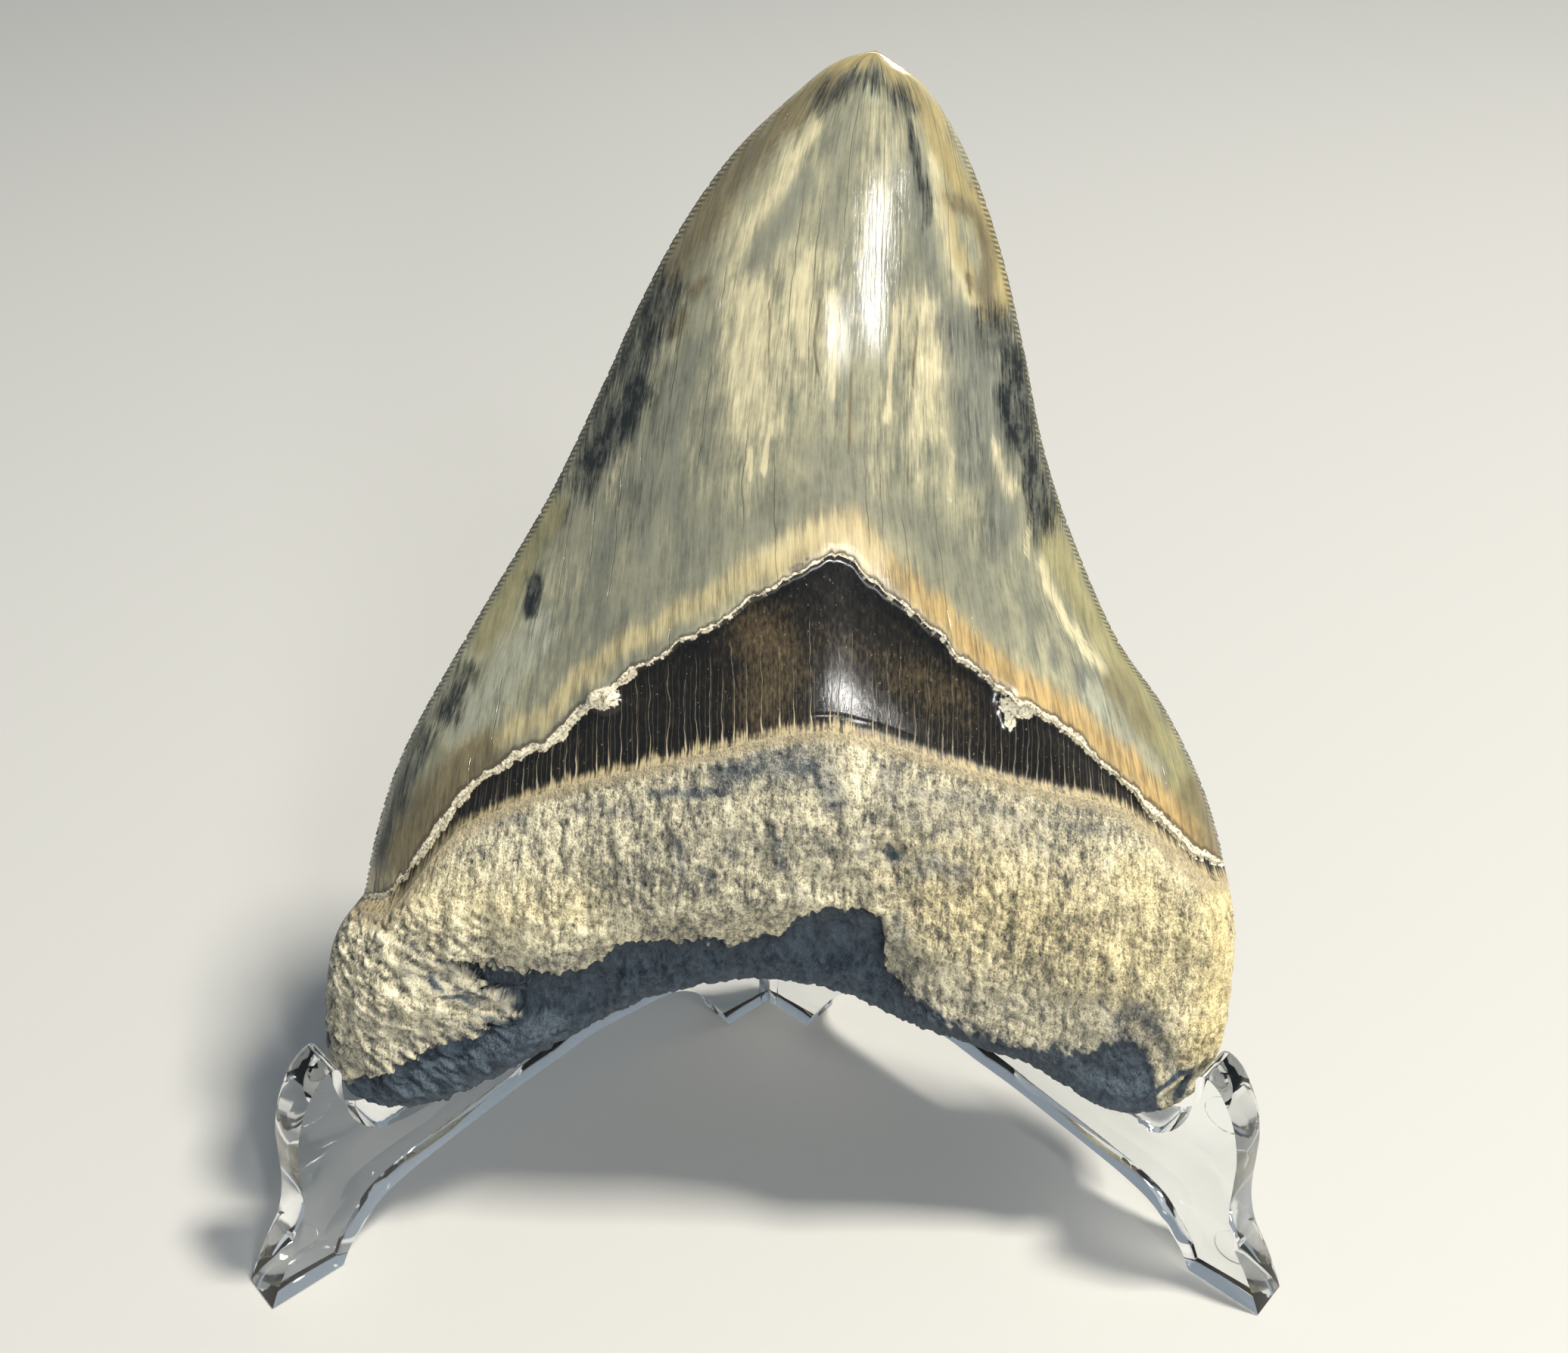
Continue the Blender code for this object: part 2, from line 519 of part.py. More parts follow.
def make_arm(name, hand, own, other):
    """A plate with its own barrels joined on, cleared for the other arm's and bored."""
    arm = arm_plate(name, hand)
    soften = arm.modifiers.new("chamfer", "BEVEL")
    soften.width = CHAMFER * MM
    soften.segments = 1
    soften.limit_method = "ANGLE"
    soften.angle_limit = math.radians(60)
    for low, high in other:
        clear = upright_cylinder(f"{name} clearance {low}", BARREL_RADIUS + PLAY, low - PLAY,
                                 high + PLAY, CUTTERS)
        combine(arm, clear, "DIFFERENCE")
    for low, high in own:
        combine(arm, upright_cylinder(f"{name} barrel {low}", BARREL_RADIUS, low, high, CUTTERS), "UNION")
    bore = upright_cylinder(f"{name} bore", PIN_RADIUS + PLAY, -1, UPRIGHT_TOP + 4, CUTTERS)
    combine(arm, bore, "DIFFERENCE")
    arm.data.shade_smooth()
    arm.data.set_sharp_from_angle(angle=math.radians(35))
    return arm


def make_pin():
    """The pin, turned: a plain shaft with a low round head that rests over the top barrel."""
    shoulder = LEFT_BARRELS[-1][1] + PLAY
    profile = [(0, PIN_TOP), (PIN_HEAD * 0.7, PIN_TOP - 0.1), (PIN_HEAD, PIN_TOP - 0.6),
               (PIN_HEAD, shoulder), (PIN_RADIUS, shoulder), (PIN_RADIUS, PIN_FOOT + 0.4),
               (PIN_RADIUS - 0.3, PIN_FOOT), (0, PIN_FOOT)]
    mesh = bpy.data.meshes.new("hinge_pin")
    lines = [(i, i + 1) for i in range(len(profile) - 1)]
    mesh.from_pydata([(r * MM, 0, z * MM) for r, z in profile], lines, [])
    pin = add_object("hinge_pin", mesh, PIN)
    pin.location = (0, (HINGE_Y + PIN_Y) * MM, 0)
    turn = pin.modifiers.new("turn", "SCREW")
    turn.steps = turn.render_steps = ROUND_STEPS
    turn.use_merge_vertices = True
    turn.merge_threshold = 0.00001
    return pin


# ---- Scene ----

def material(name, colour, roughness, transmission=0.0):
    made = bpy.data.materials.new(name)
    made.use_nodes = True
    shader = made.node_tree.nodes["Principled BSDF"]
    shader.inputs["Base Color"].default_value = (*colour, 1)
    shader.inputs["Roughness"].default_value = roughness
    shader.inputs["Metallic"].default_value = 0
    shader.inputs["Transmission Weight"].default_value = transmission
    return made


def collection(name):
    made = bpy.data.collections.new(name)
    bpy.context.scene.collection.children.link(made)
    return made


def add_object(name, mesh, finish):
    made = bpy.data.objects.new(name, mesh)
    made.data.materials.clear()
    made.data.materials.append(finish)
    PARTS.objects.link(made)
    return made


for old in list(bpy.data.objects):
    bpy.data.objects.remove(old)

PARTS = collection("megalodon tooth on easel")
CUTTERS = collection("cutters")
FOSSIL = material("fossil", (0.36, 0.34, 0.27), 0.45)
CLEAR = material("clear plastic", (0.93, 0.95, 0.98), 0.05, 1.0)
PIN = material("pin plastic", (0.9, 0.92, 0.95), 0.1, 1.0)

make_tooth()
make_arm("easel_arm_left", -1, LEFT_BARRELS, RIGHT_BARRELS)
make_arm("easel_arm_right", 1, RIGHT_BARRELS, LEFT_BARRELS)
make_pin()
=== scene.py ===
"""The looks of a megalodon tooth on its clear easel.

Blender 4.5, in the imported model's frame, in metres. The tooth is remade as one dense mesh on the
solid's own surfaces, with the fossil's fine relief and its stains. The easel's arms and pin are
remade as smooth clear plastic of the same shape. Lengths below are in millimetres, and MM turns
them into metres as the meshes are made.

The tooth is drawn in its own frame: x to the right, h up along its flat back, and n out of
the plane of its cutting edges, towards the inner (front) face.
"""
import math

import bmesh
import bpy
import numpy as np
from mathutils import Matrix, Vector, noise


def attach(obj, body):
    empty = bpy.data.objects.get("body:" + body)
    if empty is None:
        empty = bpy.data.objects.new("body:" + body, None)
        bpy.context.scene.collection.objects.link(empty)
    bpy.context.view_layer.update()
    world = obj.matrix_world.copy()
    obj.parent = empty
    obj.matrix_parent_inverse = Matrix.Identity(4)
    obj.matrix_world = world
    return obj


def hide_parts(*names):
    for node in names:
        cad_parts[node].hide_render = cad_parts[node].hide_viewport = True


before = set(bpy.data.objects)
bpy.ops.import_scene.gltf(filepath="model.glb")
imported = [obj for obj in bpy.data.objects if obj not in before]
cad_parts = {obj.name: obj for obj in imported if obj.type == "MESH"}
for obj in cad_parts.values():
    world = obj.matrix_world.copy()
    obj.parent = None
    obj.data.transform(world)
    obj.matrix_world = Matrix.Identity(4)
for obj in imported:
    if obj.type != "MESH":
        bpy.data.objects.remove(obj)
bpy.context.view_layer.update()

MM = 0.001

# The tooth's place
HINGE_Y = 25.44           # from the middle of the box back to the line where the arms meet
LEAN = math.radians(18)   # the tooth leans back this far
FOOT_Y = -34.4            # where h = 0, n = 0 is, forward of the hinge line
FOOT_Z = 19.5

# The tooth's outline, (x, h)
CROWN_LEFT = [(11, 133.3), (7, 132.2), (3.1, 129.6), (-5.1, 122.1), (-11.5, 113.5), (-17, 103.6),
              (-21.3, 94.4), (-28.3, 80.4), (-36.8, 66.3), (-44.9, 52.6), (-49.3, 43.7),
              (-52.3, 34.5), (-54.1, 26.7)]
CROWN_RIGHT = [(11, 133.3), (17.1, 129.1), (22.4, 121.1), (26.6, 110.9), (30, 99.2), (32.9, 87.7),
               (36.9, 77), (43.5, 63.4), (50.5, 53.8), (55.9, 44), (59, 36), (60, 32.3)]
ROOT_LEFT = [(-54.1, 26.7), (-57.2, 22.6), (-58.6, 17.5), (-59, 11.5), (-58.5, 6), (-56.7, 2.2)]
ROOT_RIGHT = [(60, 32.3), (60.9, 28.5), (61.3, 22), (61.2, 15), (60.2, 8.5), (57.4, 2.2)]
ARCH = [(-56.7, 2.2), (-54.5, 0.2), (-50.6, -0.8), (-45.2, -0.4), (-40, 1.6), (-34, 4.9), (-28.6, 7.8),
        (-21.9, 11.2), (-15, 14.6), (-6, 17), (0, 17.4), (6, 16.6), (12.1, 14.8), (18.1, 12.4),
        (28.2, 8.6), (34, 6.4), (40, 2.6), (44.9, -0.3), (49, -0.9), (53, -0.4), (57.4, 2.2)]

# Lines across the tooth, (x, h): the enamel's border on each face, and the root's upper rim
ENAMEL_FRONT = [(-54.1, 26.7), (-49.8, 28.8), (-47, 32), (-42.8, 37.9), (-38.4, 43.9), (-34, 47.6),
                (-27.8, 51.4), (-17.8, 60.5), (-6.4, 68), (1, 72.4), (7, 75.6), (12.2, 72.5),
                (20, 65.9), (26.9, 59.5), (36, 53.7), (44.8, 45.9), (49.7, 40.3), (54.6, 35.6),
                (60, 32.3)]
ROOT_RIM = [(-54.7, 25.9), (-49.4, 27.8), (-46.4, 31), (-42.2, 36.6), (-37.8, 40.7), (-27.6, 45.7),
            (-15.9, 49.4), (2.2, 54.6), (11.6, 54), (20.3, 51), (30.1, 47.6), (42.4, 44), (47, 41),
            (51.9, 36.9), (55.3, 33.6), (60.4, 30.9)]
ENAMEL_BACK = [(-54.1, 26.7), (-44, 29), (-25, 35), (3, 38.5), (30, 36.5), (50, 33), (60, 32.3)]

# The tooth's thickness
TOOTH_WIDTH = 116
CROWN_RISE = 19           # the inner face over the cutting edges, at the crown's base
CROWN_TAPER = 58
CROWN_BACK = 5.5          # the outer face behind them
BACK_TAPER = 30
TIP_LENS, BASE_LENS = 0.85, 0.63    # a low power gives a full section, a high one a peaked one
LENS_CHANGE = (75, 35)              # between these heights
ROOT_MIDDLE, ROOT_LOBE, ROOT_WIDTH = 17.8, 12, 26
ROOT_MIDDLE_X = 5
RIDGE_SWELL = 0.13        # shares of the root's height: the ridge's rise below the rim,
LOBE_FALL = 0.1           # the fall towards each lobe's foot,
UNDERCUT = 0.34           # and the fall towards the arch
UNDERCUT_LEFT, UNDERCUT_RIGHT = (-34, -20), (24, 6)
ROOT_BACK = 6.2
EDGE_SIDE, EDGE_LOBE, EDGE_ARCH = 3, 6, 4    # where the root's two faces meet
SIDE_ROUND, FOOT_ROUND, BACK_ROUND = 9, 5.5, 6
ENAMEL_STEP = 0.8         # the enamel stands over the dark neck band
STEP_ROUND = 10           # and meets it without a step at the sides
RIM_SHARE = 0.55          # how much of the rise from crown to ridge the root's rim has
NECK_SHARE = 0.6          # and how much of that the neck band has
BEND = 1.7                # how soon the rows across the crown take the border's shape
RIM_Q = 1.045             # the rim starts just below the enamel's corner

SERRATIONS = 174          # along each cutting edge
SERRATION_DEPTH = 0.42
WORN_TIP = 0.1            # the share of each edge, from the tip, that is worn smooth

# Lumps and hollows on the inner face: x, h, radius along x, radius along h, height
RELIEF = [
    # Crust at the enamel's border, the nutrient pit and the pale band down the root's middle
    (-20.6, 57.7, 2.4, 1.5, 1.0), (29.8, 57.6, 2.0, 1.8, 1.0), (14.3, 39.4, 1.5, 2.4, -1.9),
    (10.3, 48, 2.6, 6, 0.7),
    # Gouges and lumps on the left lobe
    (-38.5, 20.6, 5.5, 1.8, -1.9), (-34.5, 15.5, 4.5, 1.6, -1.8), (-40, 10.5, 3.5, 2, -1.4),
    (-46.5, 19.5, 5, 4.5, 1.0), (-52.5, 13.5, 3.5, 4, 0.8), (-47.5, 8, 4.5, 3, 0.9),
    (-30, 31, 7, 4, 0.7), (-15, 36, 6, 5, 0.6),
    # Lumps on the right lobe
    (30, 30, 9, 5, 0.6), (46, 22, 6, 5, 0.8), (53, 29, 4, 5, 0.7), (38, 17, 5, 3, -0.8),
    (24, 22, 6, 4, -0.5),
]
CHIP = (54.3, 3.9, 4.6, 1.5, 42)     # x, h, half length, half width, slope in degrees
CHIP_DEPTH = 2.2
LUMP_SIZE, LUMP_HEIGHT = 6.5, 0.75   # the root's uneven surface
SMALL_LUMP_SIZE, SMALL_LUMP_HEIGHT = 2.9, 0.45
BACK_LUMP_SIZE, BACK_LUMP_HEIGHT = 8, 0.25
GROOVE_PITCH, GROOVE_DEPTH = 3.1, 0.16

# The dense mesh
COLUMNS, BACK_COLUMNS = 330, 110
CROWN_ROWS, NECK_ROWS, ROOT_ROWS = 100, 12, 124
BACK_CROWN_ROWS, BACK_ROOT_ROWS = 60, 44
SERRATION_STEPS = 6
ROOT_SIDE_STEPS, ARCH_STEPS = 90, 330
SIDE_INSET = 0.004
BORDER_SHARES = [0.03, 0.022, 0.015, 0.01, 0.006, 0.003]    # rows just above the enamel's border
WALL_SHARE = 0.026        # the row at the foot of its broken edge
EDGE_CROWDING = 0.35      # how much closer together the columns are at the edges
LAST_ROW = 0.3            # the last row's distance from the foot's outline, in rows
STROKE_REACH = 2.4        # a stroke has faded out at this many of its half widths

# Smooth noise in layers: height, the lumps' size along x, h and n, and seed
JAGS = [(0.75, (2.3, 1, 1), 2.3), (0.45, (0.8, 1, 1), 0.8)]                 # the enamel's borders
WAVES = [(0.11, (6.5, 17, 17), 41.3), (0.025, (1.6, 9, 9), 43.9)]           # the enamel's surface
STREAK_DRIFT_X = [(0.45, (3.2, 6, 6), 50.1), (0.20, (0.9, 5, 5), 51.7)]     # the stains' outlines
STREAK_DRIFT_H = [(1.0, (0.6, 9, 9), 52.9), (0.8, (3, 6, 6), 53.3)]
ROOT_DRIFT_X = [(0.8, (2.2, 2.2, 2.2), 55.7)]
ROOT_DRIFT_H = [(0.8, (2.2, 2.2, 2.2), 57.1)]
CRUMBS = [(0.9, (1.3, 1.3, 1), 71.3), (0.7, (0.55, 0.55, 1), 73.9)]         # the hollow's upper edge

# The enamel's broken edge over the neck
RIM_REACH = 0.45                       # how far up it crumbles
RIM_CRUMBS, RIM_SUNK = 0.30, 0.12      # how rough and how deep it is there
CRUST_LEVEL, CRUST_LUMPS = 0.15, 0.75  # how high and how rough the crust on it is

# Stains, and among the cream ones two painted highlights, as soft strokes over the inner face: the
# points (x, h) that each follows, its half width and its strength
STAINS = {
    "charcoal": [
        ([(-14.4, 105), (-17.2, 98), (-20.6, 90), (-23.6, 83)], 3.7, 0.84),
        ([(-16.8, 94.6), (-18.8, 90.8), (-20.8, 87.7), (-22.4, 85.6)], 2.4, 1.2),
        ([(22.4, 94), (23.2, 86)], 2.6, 0.3), ([(-25, 82), (-26.4, 78.5)], 1.3, 0.4),
        ([(4.6, 127), (7.2, 129.2), (10.6, 130), (13.5, 129), (15, 126.6)], 1.9, 0.7),
        ([(15.3, 124.6), (16, 120), (17.2, 117), (17, 114)], 0.8, 0.75),
        ([(-30, 70.5), (-30, 67.4)], 1.15, 1.6), ([(-38.4, 58.6), (-41.4, 52.8)], 1.7, 0.9),
        ([(-44, 50), (-46.5, 45), (-49, 38.5), (-51, 33.5), (-51.2, 29)], 1.5, 0.66),
        ([(25.8, 102.6), (28.6, 98), (30.6, 91), (32.4, 83.5), (33.2, 79)], 2.9, 0.9),
        ([(27.8, 94.4), (28.5, 91.4), (29.8, 88.4), (31.2, 86)], 1.7, 1.3),
        ([(30.6, 84), (31.4, 80.8)], 1.3, 1.05),
        ([(-12, 101), (-13.6, 94), (-15, 86), (-17, 78)], 3.6, 0.3),
        ([(20.6, 101), (22.6, 94), (24, 86), (26, 78)], 3.0, 0.32),
    ],
    "slate": [
        ([(-10.4, 100), (-11.6, 93), (-12.4, 88), (-12, 79)], 1.6, 0.72),
        ([(-17, 90), (-23, 76)], 4.5, 0.5), ([(-12, 95), (-15.4, 85), (-16, 75)], 2.8, 0.66),
        ([(20.3, 103), (21.9, 99), (23.2, 93.3), (23.4, 86)], 2.9, 1.15),
        ([(25, 99), (27, 89), (28, 79)], 3.0, 0.8), ([(17.4, 107), (19, 104)], 1.8, 0.75),
        ([(21.6, 98), (22.4, 92)], 2.6, 0.95),
        ([(-21, 68), (-10, 76), (4, 83), (16, 80), (27, 67)], 4.4, 0.46),
        ([(3, 118.8), (1, 115.4), (-1.5, 110.8), (-2.8, 108.6)], 1.8, 0.72),
        ([(8, 126), (7, 118), (6.2, 113)], 2.6, 0.42), ([(-8, 106), (-10, 100)], 1.6, 0.4),
        ([(15.4, 120.4), (16.6, 113.3), (18.1, 107.8), (20.4, 102.6)], 1.7, 0.8),
        ([(4.5, 88), (8, 86.6), (11, 87.6)], 3.6, 0.45), ([(-19.6, 78), (-21, 72), (-20.6, 66)], 2.4, 0.55),
        ([(-27.8, 68), (-27.4, 63)], 0.9, 0.7), ([(-9, 80), (-10, 73)], 3.5, 0.45),
        ([(-27, 53), (-20, 59.6), (-10, 67)], 1.0, 0.5), ([(26.4, 79.4), (26.6, 75)], 1.4, 0.65),
        ([(25.6, 72), (28, 66)], 2.6, 0.5), ([(30.4, 73), (31.6, 66)], 1.6, 0.5),
        ([(34.6, 63.6), (34.8, 61.4)], 0.85, 0.9), ([(38.2, 60.4), (39, 57.4)], 1.1, 1.0),
        ([(40.2, 60.6), (40.4, 58.4)], 0.5, 0.7), ([(48.6, 50.6), (50, 46.6)], 1.0, 0.5),
    ],
    "cream": [
        ([(-3.4, 105), (-3, 92)], 3.6, 0.85), ([(-3.6, 90), (-3.6, 82)], 2.4, 0.35),
        ([(12, 92), (12, 84)], 2.6, 0.35), ([(3, 108), (3.4, 98)], 4.6, 0.6),
        ([(16.6, 104), (17.4, 91)], 3.2, 0.64), ([(12, 126), (10, 108)], 2.6, 0.35),
        ([(3.8, 124.8), (2.2, 122), (0, 118.6), (-2.4, 115), (-4.2, 111.8), (-5, 108.8)], 1.15, 0.78),
        ([(-3.3, 106), (-3.2, 93)], 0.9, 0.85), ([(2.4, 108), (2.8, 99)], 1.4, 0.95),
        ([(6.3, 106), (6.4, 95)], 1.1, 0.7), ([(13.8, 104.4), (13.5, 99), (12.8, 92)], 0.45, 1.0),
        ([(17.4, 105), (18.4, 99), (18.4, 93)], 1.2, 0.82), ([(16, 90), (16.8, 84)], 2.2, 0.4),
        ([(26.4, 88), (27.4, 85), (29, 82.6)], 1.0, 0.6), ([(20.8, 87.6), (20.9, 82.8)], 0.6, 0.6),
        # These two narrow strokes are painted highlights: glints on small ridges of the enamel
        ([(-3, 87.6), (-3.1, 84.8)], 0.35, 1.4), ([(-0.6, 91), (-1.2, 87.6), (-1.5, 85.2)], 0.3, 1.3),
        ([(-18, 88), (-19.2, 83.6), (-20, 80.8)], 1.2, 0.4), ([(-6, 117), (-7.6, 111)], 1.5, 0.45),
        ([(33, 74.2), (34.3, 70), (36.2, 66), (38.8, 62.8), (42, 59.6)], 0.8, 1.0),
        ([(18.2, 121), (19, 116.6), (20.2, 112), (21.6, 108.6), (23.4, 105)], 0.9, 0.95),
        ([(31.5, 79.6), (31, 77), (30.8, 74.6)], 0.25, 1.0),
        ([(0, 76.2), (6, 78.8), (11.4, 76)], 2.0, 0.75),
        ([(18.3, 116.2), (21, 109), (22.8, 106)], 0.7, 0.7),
    ],
    "pale": [
        ([(-29, 65.6), (-31.4, 61.6), (-34.6, 57.6), (-37.6, 53.4), (-39.4, 50.4)], 2.3, 0.95),
        ([(-24.6, 74), (-25.4, 69)], 0.8, 0.5), ([(10.6, 128.3), (10.7, 128.1)], 0.6, 1.6),
        ([(39.8, 57.4), (43, 54), (45.6, 50.4), (47.8, 47)], 1.6, 0.92),
    ],
    "gold": [
        ([(6, 131.2), (11, 132.4), (14.4, 130), (17.6, 126.4)], 1.25, 0.95),
        ([(17.6, 126.4), (19.8, 121), (22.4, 117.4), (24.9, 113), (26.4, 108.8), (27, 105)], 1.7, 1.0),
        ([(19.4, 118), (20.8, 111.6), (23.4, 106.4), (24.5, 103.5)], 1.2, 0.7),
    ],
    "olive": [
        ([(33.2, 79.4), (35.2, 74.8), (37.2, 71), (39.4, 67.4), (41.8, 64), (43.6, 61.4)], 2.0, 1.3),
        ([(44, 60), (46.6, 55.8), (50.4, 50)], 2.6, 1.15),
        ([(52.4, 46), (54.6, 42), (56.8, 37.6), (58.6, 33.6)], 2.5, 1.3),
        ([(-27.4, 79), (-31, 73), (-34, 67.2), (-36.8, 62.4)], 1.7, 1.0),
    ],
    "umber": [
        ([(4.4, 128.8), (-3.8, 121), (-10, 112.2), (-15.2, 102.6)], 2.5, 0.88),
        ([(5.4, 129), (2.4, 127.2), (0, 125), (-3, 122)], 2.2, 0.95), ([(1.6, 126.6), (-1, 124)], 1.8, 1.1),
        ([(1.6, 125.4), (-1.4, 123.6)], 1.2, 1.1), ([(-2.8, 122), (-5, 118.4), (-7, 115)], 1.8, 0.7),
        ([(-8.6, 110.6), (-9.4, 109)], 1.1, 0.5), ([(-8.8, 107), (-10.4, 106)], 1.2, 0.9),
        ([(-11.6, 103), (-12.6, 101.4)], 1.2, 0.95),
        ([(20.2, 116.9), (23.4, 114.6), (25, 110.6), (24.7, 106.6), (26, 102.8)], 1.25, 0.92),
        ([(22.4, 108.2), (22.8, 106.4)], 0.5, 0.9), ([(43, 58), (47, 52.5)], 2.6, 0.6),
        ([(-36, 49), (-41.6, 43.6), (-45.4, 39), (-49, 33.6)], 3.0, 1.2),
        ([(54.6, 43), (58.4, 35)], 2.8, 0.8), ([(2, 74.4), (4.4, 75.1)], 0.3, 1.4),
        ([(14.6, 68.6), (15, 67.4)], 0.35, 1.0), ([(-1.3, 105), (-1.2, 96)], 0.16, 1.0),
        ([(4.9, 106), (4.4, 96.6)], 0.17, 0.95), ([(8.7, 97), (8.4, 88)], 0.22, 0.9),
        ([(16.3, 104), (16.1, 95)], 0.16, 1.0),
    ],
}
# White crust: on the border at two places, and along the parts of it that are broken wider
CRUSTS = [
    ([(-21.6, 57.2), (-20.2, 57.8)], 1.3, 1.4), ([(-18.2, 59.9), (-17.2, 60.6)], 0.6, 1.1),
    ([(28.8, 57), (31.2, 56.2)], 1.1, 1.4), ([(29, 56), (29.2, 54.6)], 0.7, 1.2),
]
WIDE_RIMS = [
    ([(-33, 48.4), (-27, 52.6), (-23, 55.4)], 2.5, 0.8), ([(-44, 36.4), (-39, 43.2)], 2.5, 0.7),
    ([(48, 42), (56, 34.4)], 2.5, 0.8), ([(31, 56.6), (38, 52.4)], 2.0, 0.4),
]
# The neck's brown parts, and dark and pale parts of the root. The root's dark strokes are partly
# slate stains and pits, and partly painted shade on the chip's rim and the lobes' lower faces
NECK_WARM = [
    ([(-2.5, 66), (0.5, 63.5), (-1, 58)], 4.2, 1.0), ([(7, 65.5), (14, 62), (22, 57.5)], 3.6, 0.62),
]
DARK_PITS_AND_PAINTED_SHADE = [
    # The chip's dark outline, in the first two strokes, is painted shadow
    ([(50.2, 3.9), (51.6, 5.9), (53.4, 7), (55, 7)], 0.6, 1.9),
    ([(55.2, 6.6), (55.3, 4.4), (54, 2.8)], 0.8, 1.9), ([(-57.4, 3.4), (-52, 1.6), (-48, 2)], 2.2, 1.3),
    ([(-58.6, 13), (-58.6, 6)], 1.2, 0.9), ([(-15, 46.4), (-9, 47.2), (-5.6, 47)], 0.9, 0.95),
    ([(-12, 41.4), (-11, 37.2)], 1.0, 0.8), ([(-8.2, 37.4), (-8, 35)], 0.9, 0.75),
    ([(-5.2, 42.6), (-5, 40)], 1.0, 0.7), ([(0.6, 42), (1, 38.6)], 1.2, 0.75),
    ([(2.6, 36.4), (4, 33.6)], 0.8, 0.6), ([(10.8, 41.8), (11, 39.8)], 0.7, 0.8),
    ([(7.4, 41.6), (7.8, 40.6)], 0.6, 0.7), ([(14.2, 39.8), (14.9, 38.8)], 1.1, 1.1),
    ([(18.6, 38.6), (23, 37)], 2.2, 0.65), ([(15.8, 32), (16.4, 24)], 1.3, 0.6),
    ([(17, 47.6), (24, 45.6), (30, 43.4)], 1.3, 0.62), ([(33, 42.6), (42, 41)], 0.8, 0.5),
    ([(-6, 49), (0, 51), (6, 50.4)], 2.4, 0.85), ([(4.6, 50.6), (6.4, 49), (7.6, 46.4)], 1.8, 0.85),
    ([(13.6, 49.6), (14.6, 47)], 1.6, 0.6), ([(-37, 40.6), (-31, 42)], 1.1, 0.5),
    ([(-24, 44), (-17, 44)], 1.5, 0.5), ([(-16, 40), (-2, 42), (10, 40), (14, 36)], 5.0, 0.26),
    ([(15, 45), (25, 43), (34, 40)], 3.2, 0.4), ([(-43.4, 21.2), (-41.4, 18.6)], 0.5, 1.3),
    ([(-41, 17.8), (-38, 15.8)], 0.5, 1.2), ([(-42, 23), (-40.4, 21.6)], 0.6, 1.1),
    ([(-38.8, 18.4), (-36.8, 17)], 0.45, 1.1), ([(-38, 14.6), (-34.6, 13.4)], 0.5, 1.0),
    ([(-37.6, 17.4), (-34.4, 16.6)], 0.9, 0.8), ([(-46, 25), (-43, 22)], 0.7, 0.6),
    ([(44.4, 14.6), (47, 17), (50, 13.4)], 1.6, 0.75), ([(42.2, 17.8), (43.4, 17)], 0.6, 1.0),
    # The broad strokes along the lobes' feet, on the left and under the right lobe, are painted shade
    ([(51, 11), (52.4, 7.6)], 1.0, 0.6), ([(17, 25), (24, 20), (32, 17.6), (42, 15)], 3.4, 0.42),
    ([(14.6, 30), (17, 22)], 2.0, 0.45), ([(-56, 16), (-48, 13), (-41, 11)], 3.6, 0.42),
    ([(-50, 9), (-44, 12)], 1.6, 0.55), ([(-33, 22.6), (-24, 23.4)], 1.6, 0.4),
    ([(-46, 21.6), (-38.8, 19.3), (-34, 15.4)], 2.2, 0.55), ([(-56, 9), (-48, 6), (-41, 7)], 3.2, 0.5),
    ([(-42, 14), (-37, 12.4)], 1.2, 0.6),
]
PALES = [
    ([(10.6, 54), (10.2, 50), (9, 45), (8, 43)], 1.5, 1.0),
    ([(-46, 31.6), (-41, 30.6), (-37, 30)], 2.6, 0.9), ([(-35, 34.4), (-29, 33), (-23, 29)], 4.2, 0.7),
    ([(-53, 27), (-50, 26)], 2.6, 0.6), ([(-44, 17), (-41, 16)], 1.4, 0.6),
    ([(32, 38), (42, 36.6), (50, 33)], 3.6, 0.35), ([(-54, 18), (-46, 22)], 5.0, 0.35),
    ([(57, 29), (58.4, 20), (56.6, 11)], 3.2, 0.75), ([(50.8, 3.4), (52.2, 4.6), (53.8, 5.6)], 0.7, 1.9),
]
YELLOWS = [
    ([(58, 30), (58, 12)], 6.0, 1.1), ([(46, 34), (56, 24)], 5.0, 0.8), ([(22, 34), (48, 24)], 10, 0.75),
    ([(-44, 31), (-24, 31)], 4.0, 0.5),
]
# The shaded hollow along the root's foot: its upper edge (x, h), and its left edge (h, x)
RECESS_TOP = [(-60, 22), (-41, 22.2), (-35, 20.9), (-26.5, 20.7), (-23.6, 20.9), (-21.7, 21.4),
              (-19.8, 24.6), (-17.6, 25.6), (-15.4, 25.3), (-13.3, 23.9), (-11, 24.8), (-8.5, 25.2),
              (-5.3, 24.1), (-1.9, 25.4), (1, 26), (2.4, 27.4), (3.4, 31), (7.4, 32.2), (10.7, 31.8),
              (13.7, 31.2), (14.2, 23.4), (15.5, 21), (18.8, 19), (22.3, 16.4), (25.4, 14.3),
              (29.5, 13), (32.6, 11.5), (37.7, 10.9), (42, 11), (43.6, 12.6), (46.6, 13),
              (49, 10.4), (50.4, 6.6), (51, 4), (53, -2)]
